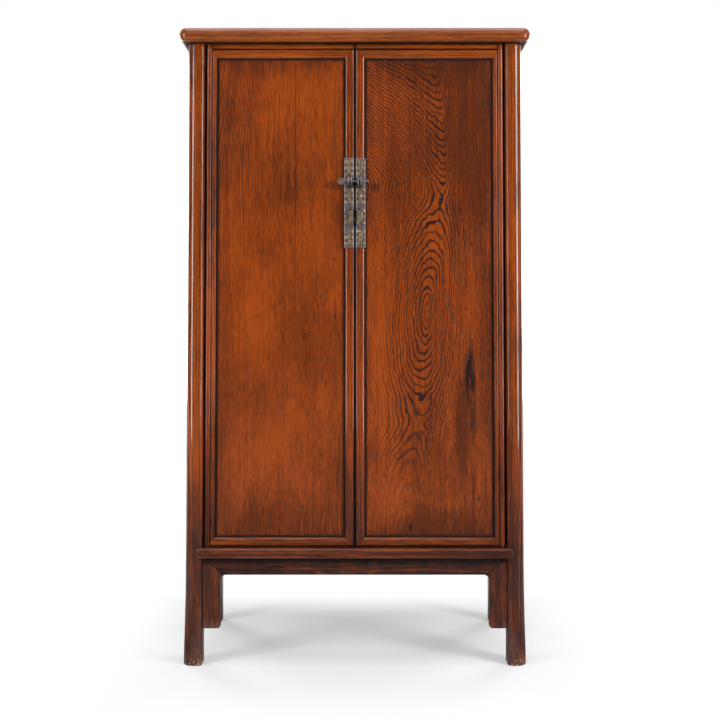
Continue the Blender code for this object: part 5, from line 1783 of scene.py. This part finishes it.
def pull_leaf(side_name, side):
    """A leaf pull with two ears on an axle."""
    left_half = [(-across, up, radius) for across, up, radius in reversed(PULL_LEAF[:-1])]
    bm = leaf((*PULL_LEAF, *left_half), 0.0022, 0.0012, 0.5)
    for ear in (-1, 1):
        low, high = sorted((ear * 0.0032, ear * 0.0064))
        add_to(bm, ease(bar(PULL_EAR, "X", low, high), 0.0003, 1, 0.9))
    points = [Vector((along, -radius, 0.0)) for along, radius in PULL_AXLE]
    add_to(bm, spun(points, (0.0, 0.0, 0.0), (1.0, 0.0, 0.0), 16))
    bmesh.ops.translate(bm, verts=bm.verts[:], vec=(PULL_X, PULL_Y, PULL_Z))
    name = f"{side_name}_pull"
    place(bm, f"{name}_leaf", name, [name], material("aged_brass_finish"), side)


def pull_eye(side_name, side):
    """The wire eye that a pull hangs in, on its turned rose."""
    wire = bmesh.new()
    turn = Matrix.Translation((PULL_X, PULL_Y - EYE_RADIUS, PULL_Z))
    bmesh.ops.create_circle(wire, cap_ends=False, segments=10, radius=EYE_WIRE, matrix=turn)
    bmesh.ops.spin(
        wire, geom=wire.verts[:] + wire.edges[:], cent=(PULL_X, PULL_Y, PULL_Z), axis=(1.0, 0.0, 0.0),
        dvec=(0.0, 0.0, 0.0), angle=2.0 * math.pi, steps=20, use_merge=True, use_duplicate=False,
    )
    bmesh.ops.remove_doubles(wire, verts=wire.verts[:], dist=MERGE_DISTANCE)
    bmesh.ops.scale(
        wire, verts=wire.verts[:], vec=(1.5, 1.0, 1.0),
        space=Matrix.Translation((-PULL_X, -PULL_Y, -PULL_Z)),
    )
    # The wire gets painted shade, so that the eye shows as a dark hole
    shade_layer = wire.verts.layers.float.new("soot")
    for vert in wire.verts:
        vert[shade_layer] = 0.9
    base = PLATE_FACE + FITTING_SEAT
    points = [Vector((PULL_X + radius, base - ahead, PULL_Z)) for ahead, radius in EYE_ROSE]
    rose = spun(points, (PULL_X, 0.0, PULL_Z), (0.0, 1.0, 0.0), 20)
    # The rose gets painted shade, darkest on its front part
    shade_layer = rose.verts.layers.float.new("soot")
    for vert in rose.verts:
        vert[shade_layer] = 0.95 if vert.co.y < base - 0.0012 else 0.4
    add_to(wire, rose)
    name = f"{side_name}_pull_eye"
    brass = material("aged_brass_finish")
    place(wire, f"{name}_ring", f"{side_name}_door", [name], brass, side)


def build_pulls():
    """The two leaf pulls, each hung by an axle in its eye."""
    for side_name, side in SIDES:
        pull_leaf(side_name, side)
        pull_eye(side_name, side)


# Stage

def mirrored_ray(tree, path):
    """Whether a ray comes from a mirroring or clear surface."""
    glossy = path.outputs["Is Glossy Ray"]
    return calc(tree, "ADD", glossy, path.outputs["Is Transmission Ray"], clamp=True)


def studio_floor():
    """A wide pale floor that keeps the cabinet's shadow near it and is plain white further out."""
    bm = bmesh.new()
    bmesh.ops.create_grid(bm, x_segments=1, y_segments=1, size=14.0)
    mesh = bpy.data.meshes.new("studio_floor")
    bm.to_mesh(mesh)
    bm.free()
    floor = bpy.data.objects.new("studio_floor", mesh)
    bpy.context.scene.collection.objects.link(floor)
    look = bpy.data.materials.new("studio_floor_finish")
    look.use_nodes = True
    tree = look.node_tree
    shader = tree.nodes["Principled BSDF"]
    shader.inputs["Base Color"].default_value = (0.97, 0.97, 0.97, 1.0)
    shader.inputs["Roughness"].default_value = 0.9
    shader.inputs["Specular IOR Level"].default_value = 0.0
    white = tree.nodes.new("ShaderNodeEmission")
    path = tree.nodes.new("ShaderNodeLightPath")
    spot = tree.nodes.new("ShaderNodeTexCoord").outputs["Object"]
    far = tree.nodes.new("ShaderNodeVectorMath")
    far.operation = "LENGTH"
    tree.links.new(spot, far.inputs[0])
    # White seen by the camera, full away from the cabinet and part of it where the shadow lies
    x, y, z = split(tree, spot)
    aside = calc(tree, "ABSOLUTE", x)
    past_x = calc(tree, "SUBTRACT", aside, 0.42)
    past_y = calc(tree, "SUBTRACT", calc(tree, "ABSOLUTE", calc(tree, "ADD", y, 0.06)), 0.30)
    share = step(tree, calc(tree, "MAXIMUM", past_x, past_y), 0.0, 0.30, 0.32, 1.0)
    near_level = bpy.context.scene.cabinet_studio.floor_sheen
    camera = path.outputs["Is Camera Ray"]
    bounced = mirrored_ray(tree, path)
    # Brightness that the finish mirrors: beside, behind and just before the cabinet
    beside = step(tree, aside, 0.55, 1.20, 0.0, 0.45)
    beside = calc(tree, "MULTIPLY", beside, step(tree, far.outputs["Value"], 1.5, 2.3, 1.0, 0.0))
    beside = calc(tree, "MAXIMUM", beside, step(tree, y, 0.2, 0.8, near_level, 0.55))
    before = step(tree, y, -0.62, -0.46, 0.0, 0.8)
    before = calc(tree, "MULTIPLY", before, step(tree, y, -0.26, -0.16, 1.0, 0.0))
    before = calc(tree, "MULTIPLY", before, step(tree, aside, 0.5, 0.7, 1.0, 0.0))
    beside = calc(tree, "MAXIMUM", beside, before)
    level = calc(tree, "MAXIMUM", camera, beside)
    feed(tree, white.inputs["Strength"], level)
    seen = calc(tree, "MAXIMUM", calc(tree, "MULTIPLY", camera, share), bounced)
    mix = tree.nodes.new("ShaderNodeMixShader")
    feed(tree, mix.inputs[0], seen)
    tree.links.new(shader.outputs[0], mix.inputs[1])
    tree.links.new(white.outputs[0], mix.inputs[2])
    tree.links.new(mix.outputs[0], tree.nodes["Material Output"].inputs["Surface"])
    mesh.materials.append(look)


def studio_world():
    """White where it is seen behind the cabinet, and a soft grey light from all round."""
    studio = bpy.context.scene.cabinet_studio
    world = bpy.data.worlds.new("studio_world")
    bpy.context.scene.world = world
    world.use_nodes = True
    tree = world.node_tree
    ambient = tree.nodes["Background"]
    ambient.inputs["Color"].default_value = (1.0, 1.0, 1.0, 1.0)
    ambient.inputs["Strength"].default_value = studio.ambient
    white = tree.nodes.new("ShaderNodeBackground")
    white.inputs["Color"].default_value = (1.0, 1.0, 1.0, 1.0)
    white.inputs["Strength"].default_value = 1.0
    path = tree.nodes.new("ShaderNodeLightPath")
    x, y, z = split(tree, tree.nodes.new("ShaderNodeTexCoord").outputs["Generated"])
    behind = step(tree, y, 0.0, 0.7, studio.room, 0.60)
    bounced = mirrored_ray(tree, path)
    grey = tree.nodes.new("ShaderNodeCombineColor")
    for socket in grey.inputs:
        feed(tree, socket, behind)
    backdrop = tree.nodes.new("ShaderNodeBackground")
    tree.links.new(grey.outputs[0], backdrop.inputs["Color"])
    mirror = tree.nodes.new("ShaderNodeMixShader")
    feed(tree, mirror.inputs[0], bounced)
    tree.links.new(ambient.outputs[0], mirror.inputs[1])
    tree.links.new(backdrop.outputs[0], mirror.inputs[2])
    mix = tree.nodes.new("ShaderNodeMixShader")
    feed(tree, mix.inputs[0], path.outputs["Is Camera Ray"])
    tree.links.new(mirror.outputs[0], mix.inputs[1])
    tree.links.new(white.outputs[0], mix.inputs[2])
    tree.links.new(mix.outputs[0], tree.nodes["World Output"].inputs["Surface"])


def soft_lamp(name, power, width, height, spot, target):
    """A soft rectangular lamp aimed at a point."""
    lamp = bpy.data.lights.new(name, "AREA")
    lamp.shape = "RECTANGLE"
    lamp.size = width
    lamp.size_y = height
    lamp.energy = power
    lamp.color = (0.94, 0.97, 1.0)
    item = bpy.data.objects.new(name, lamp)
    item.location = spot
    item.rotation_euler = (Vector(target) - Vector(spot)).to_track_quat("-Z", "Y").to_euler()
    bpy.context.scene.collection.objects.link(item)


def studio_camera():
    """A level camera with the lens shifted down to take in the whole cabinet."""
    studio = bpy.context.scene.cabinet_studio
    camera = bpy.data.cameras.new("studio_camera")
    camera.lens = studio.lens
    camera.sensor_width = 36.0
    camera.shift_y = studio.shift
    item = bpy.data.objects.new("studio_camera", camera)
    item.location = (studio.aside, -studio.distance, studio.eye_height)
    item.rotation_euler = (math.pi / 2, 0.0, 0.0)
    bpy.context.scene.collection.objects.link(item)
    bpy.context.scene.camera = item


def build_stage():
    """Floor, world, lamps and camera."""
    studio = bpy.context.scene.cabinet_studio
    studio_floor()
    studio_world()
    middle = (0.0, 0.0, 0.95)
    soft_lamp("left_lamp", studio.left_power, 0.6, 2.2, (-2.3, -1.7, 1.45), middle)
    soft_lamp("right_lamp", studio.right_power, 0.6, 2.2, (2.3, -1.7, 1.45), middle)
    soft_lamp("front_lamp", studio.front_power, 2.6, 0.9, (0.0, -2.3, 3.3), middle)
    soft_lamp("top_lamp", studio.top_power, 2.4, 1.6, (0.0, -0.5, 3.4), (0.0, 0.0, 1.0))
    soft_lamp("back_left_lamp", studio.back_power, 1.0, 2.0, (-2.2, 2.3, 1.5), middle)
    soft_lamp("back_right_lamp", studio.back_power, 1.0, 2.0, (2.2, 2.3, 1.5), middle)
    studio_camera()
    bpy.context.scene.view_settings.view_transform = "Standard"


# Operators, panel and registration

class CABINET_OT_finishes(bpy.types.Operator):
    """Make the wood and brass finishes"""

    bl_idname = "cabinet.finishes"
    bl_label = "Finishes"

    def execute(self, context):
        make_finishes()
        return {"FINISHED"}


class CABINET_OT_top(bpy.types.Operator):
    """Build the moulded top frame and its panel"""

    bl_idname = "cabinet.top"
    bl_label = "Top"

    def execute(self, context):
        build_top()
        return {"FINISHED"}


class CABINET_OT_posts(bpy.types.Operator):
    """Build the four leaning posts"""

    bl_idname = "cabinet.posts"
    bl_label = "Posts"

    def execute(self, context):
        build_posts()
        return {"FINISHED"}


class CABINET_OT_lower_frame(bpy.types.Operator):
    """Build the sill with its ledge and the lower rails"""

    bl_idname = "cabinet.lower_frame"
    bl_label = "Lower frame"

    def execute(self, context):
        build_lower_frame()
        return {"FINISHED"}


class CABINET_OT_aprons(bpy.types.Operator):
    """Build the aprons and their spandrels"""

    bl_idname = "cabinet.aprons"
    bl_label = "Aprons"

    def execute(self, context):
        build_aprons()
        return {"FINISHED"}


class CABINET_OT_walls(bpy.types.Operator):
    """Build the side panels and the back"""

    bl_idname = "cabinet.walls"
    bl_label = "Walls"

    def execute(self, context):
        build_walls()
        return {"FINISHED"}


class CABINET_OT_interior(bpy.types.Operator):
    """Give the shelves and the other inner solids their finish"""

    bl_idname = "cabinet.interior"
    bl_label = "Interior"

    def execute(self, context):
        dress_interior()
        return {"FINISHED"}


class CABINET_OT_doors(bpy.types.Operator):
    """Build the two doors and the strip above them"""

    bl_idname = "cabinet.doors"
    bl_label = "Doors"

    def execute(self, context):
        build_doors()
        return {"FINISHED"}


class CABINET_OT_plates(bpy.types.Operator):
    """Build the two brass face plates"""

    bl_idname = "cabinet.plates"
    bl_label = "Face plates"

    def execute(self, context):
        build_plates()
        return {"FINISHED"}


class CABINET_OT_lock(bpy.types.Operator):
    """Build the lock lugs and the pin"""

    bl_idname = "cabinet.lock"
    bl_label = "Lock"

    def execute(self, context):
        build_lock()
        return {"FINISHED"}


class CABINET_OT_pulls(bpy.types.Operator):
    """Build the leaf pulls and their eyes"""

    bl_idname = "cabinet.pulls"
    bl_label = "Pulls"

    def execute(self, context):
        build_pulls()
        return {"FINISHED"}


class CABINET_OT_stage(bpy.types.Operator):
    """Set up the floor, the light and the camera"""

    bl_idname = "cabinet.stage"
    bl_label = "Stage"

    def execute(self, context):
        build_stage()
        return {"FINISHED"}


STEPS = (
    CABINET_OT_finishes, CABINET_OT_top, CABINET_OT_posts, CABINET_OT_lower_frame, CABINET_OT_aprons,
    CABINET_OT_walls, CABINET_OT_interior, CABINET_OT_doors, CABINET_OT_plates, CABINET_OT_lock,
    CABINET_OT_pulls, CABINET_OT_stage,
)


class CABINET_PT_sidebar(bpy.types.Panel):
    """Lists the steps that build the cabinet"""

    bl_idname = "CABINET_PT_sidebar"
    bl_label = "Tapered Cabinet"
    bl_space_type = "VIEW_3D"
    bl_region_type = "UI"
    bl_category = "Cabinet"

    def draw(self, context):
        for item in STEPS:
            self.layout.operator(item.bl_idname)


CLASSES = (CabinetSizes, CabinetFinish, StudioSettings, *STEPS, CABINET_PT_sidebar)


def register():
    """Register the classes and their settings."""
    for item in CLASSES:
        bpy.utils.register_class(item)
    bpy.types.Scene.cabinet_sizes = PointerProperty(type=CabinetSizes)
    bpy.types.Scene.cabinet_finish = PointerProperty(type=CabinetFinish)
    bpy.types.Scene.cabinet_studio = PointerProperty(type=StudioSettings)


def unregister():
    """Remove the settings and the classes."""
    del bpy.types.Scene.cabinet_studio
    del bpy.types.Scene.cabinet_finish
    del bpy.types.Scene.cabinet_sizes
    for item in reversed(CLASSES):
        bpy.utils.unregister_class(item)


def main():
    """Build the whole cabinet on its stage."""
    register()
    bpy.ops.cabinet.finishes()
    bpy.ops.cabinet.top()
    bpy.ops.cabinet.posts()
    bpy.ops.cabinet.lower_frame()
    bpy.ops.cabinet.aprons()
    bpy.ops.cabinet.walls()
    bpy.ops.cabinet.interior()
    bpy.ops.cabinet.doors()
    bpy.ops.cabinet.plates()
    bpy.ops.cabinet.lock()
    bpy.ops.cabinet.pulls()
    bpy.ops.cabinet.stage()


if __name__ == "__main__":
    main()
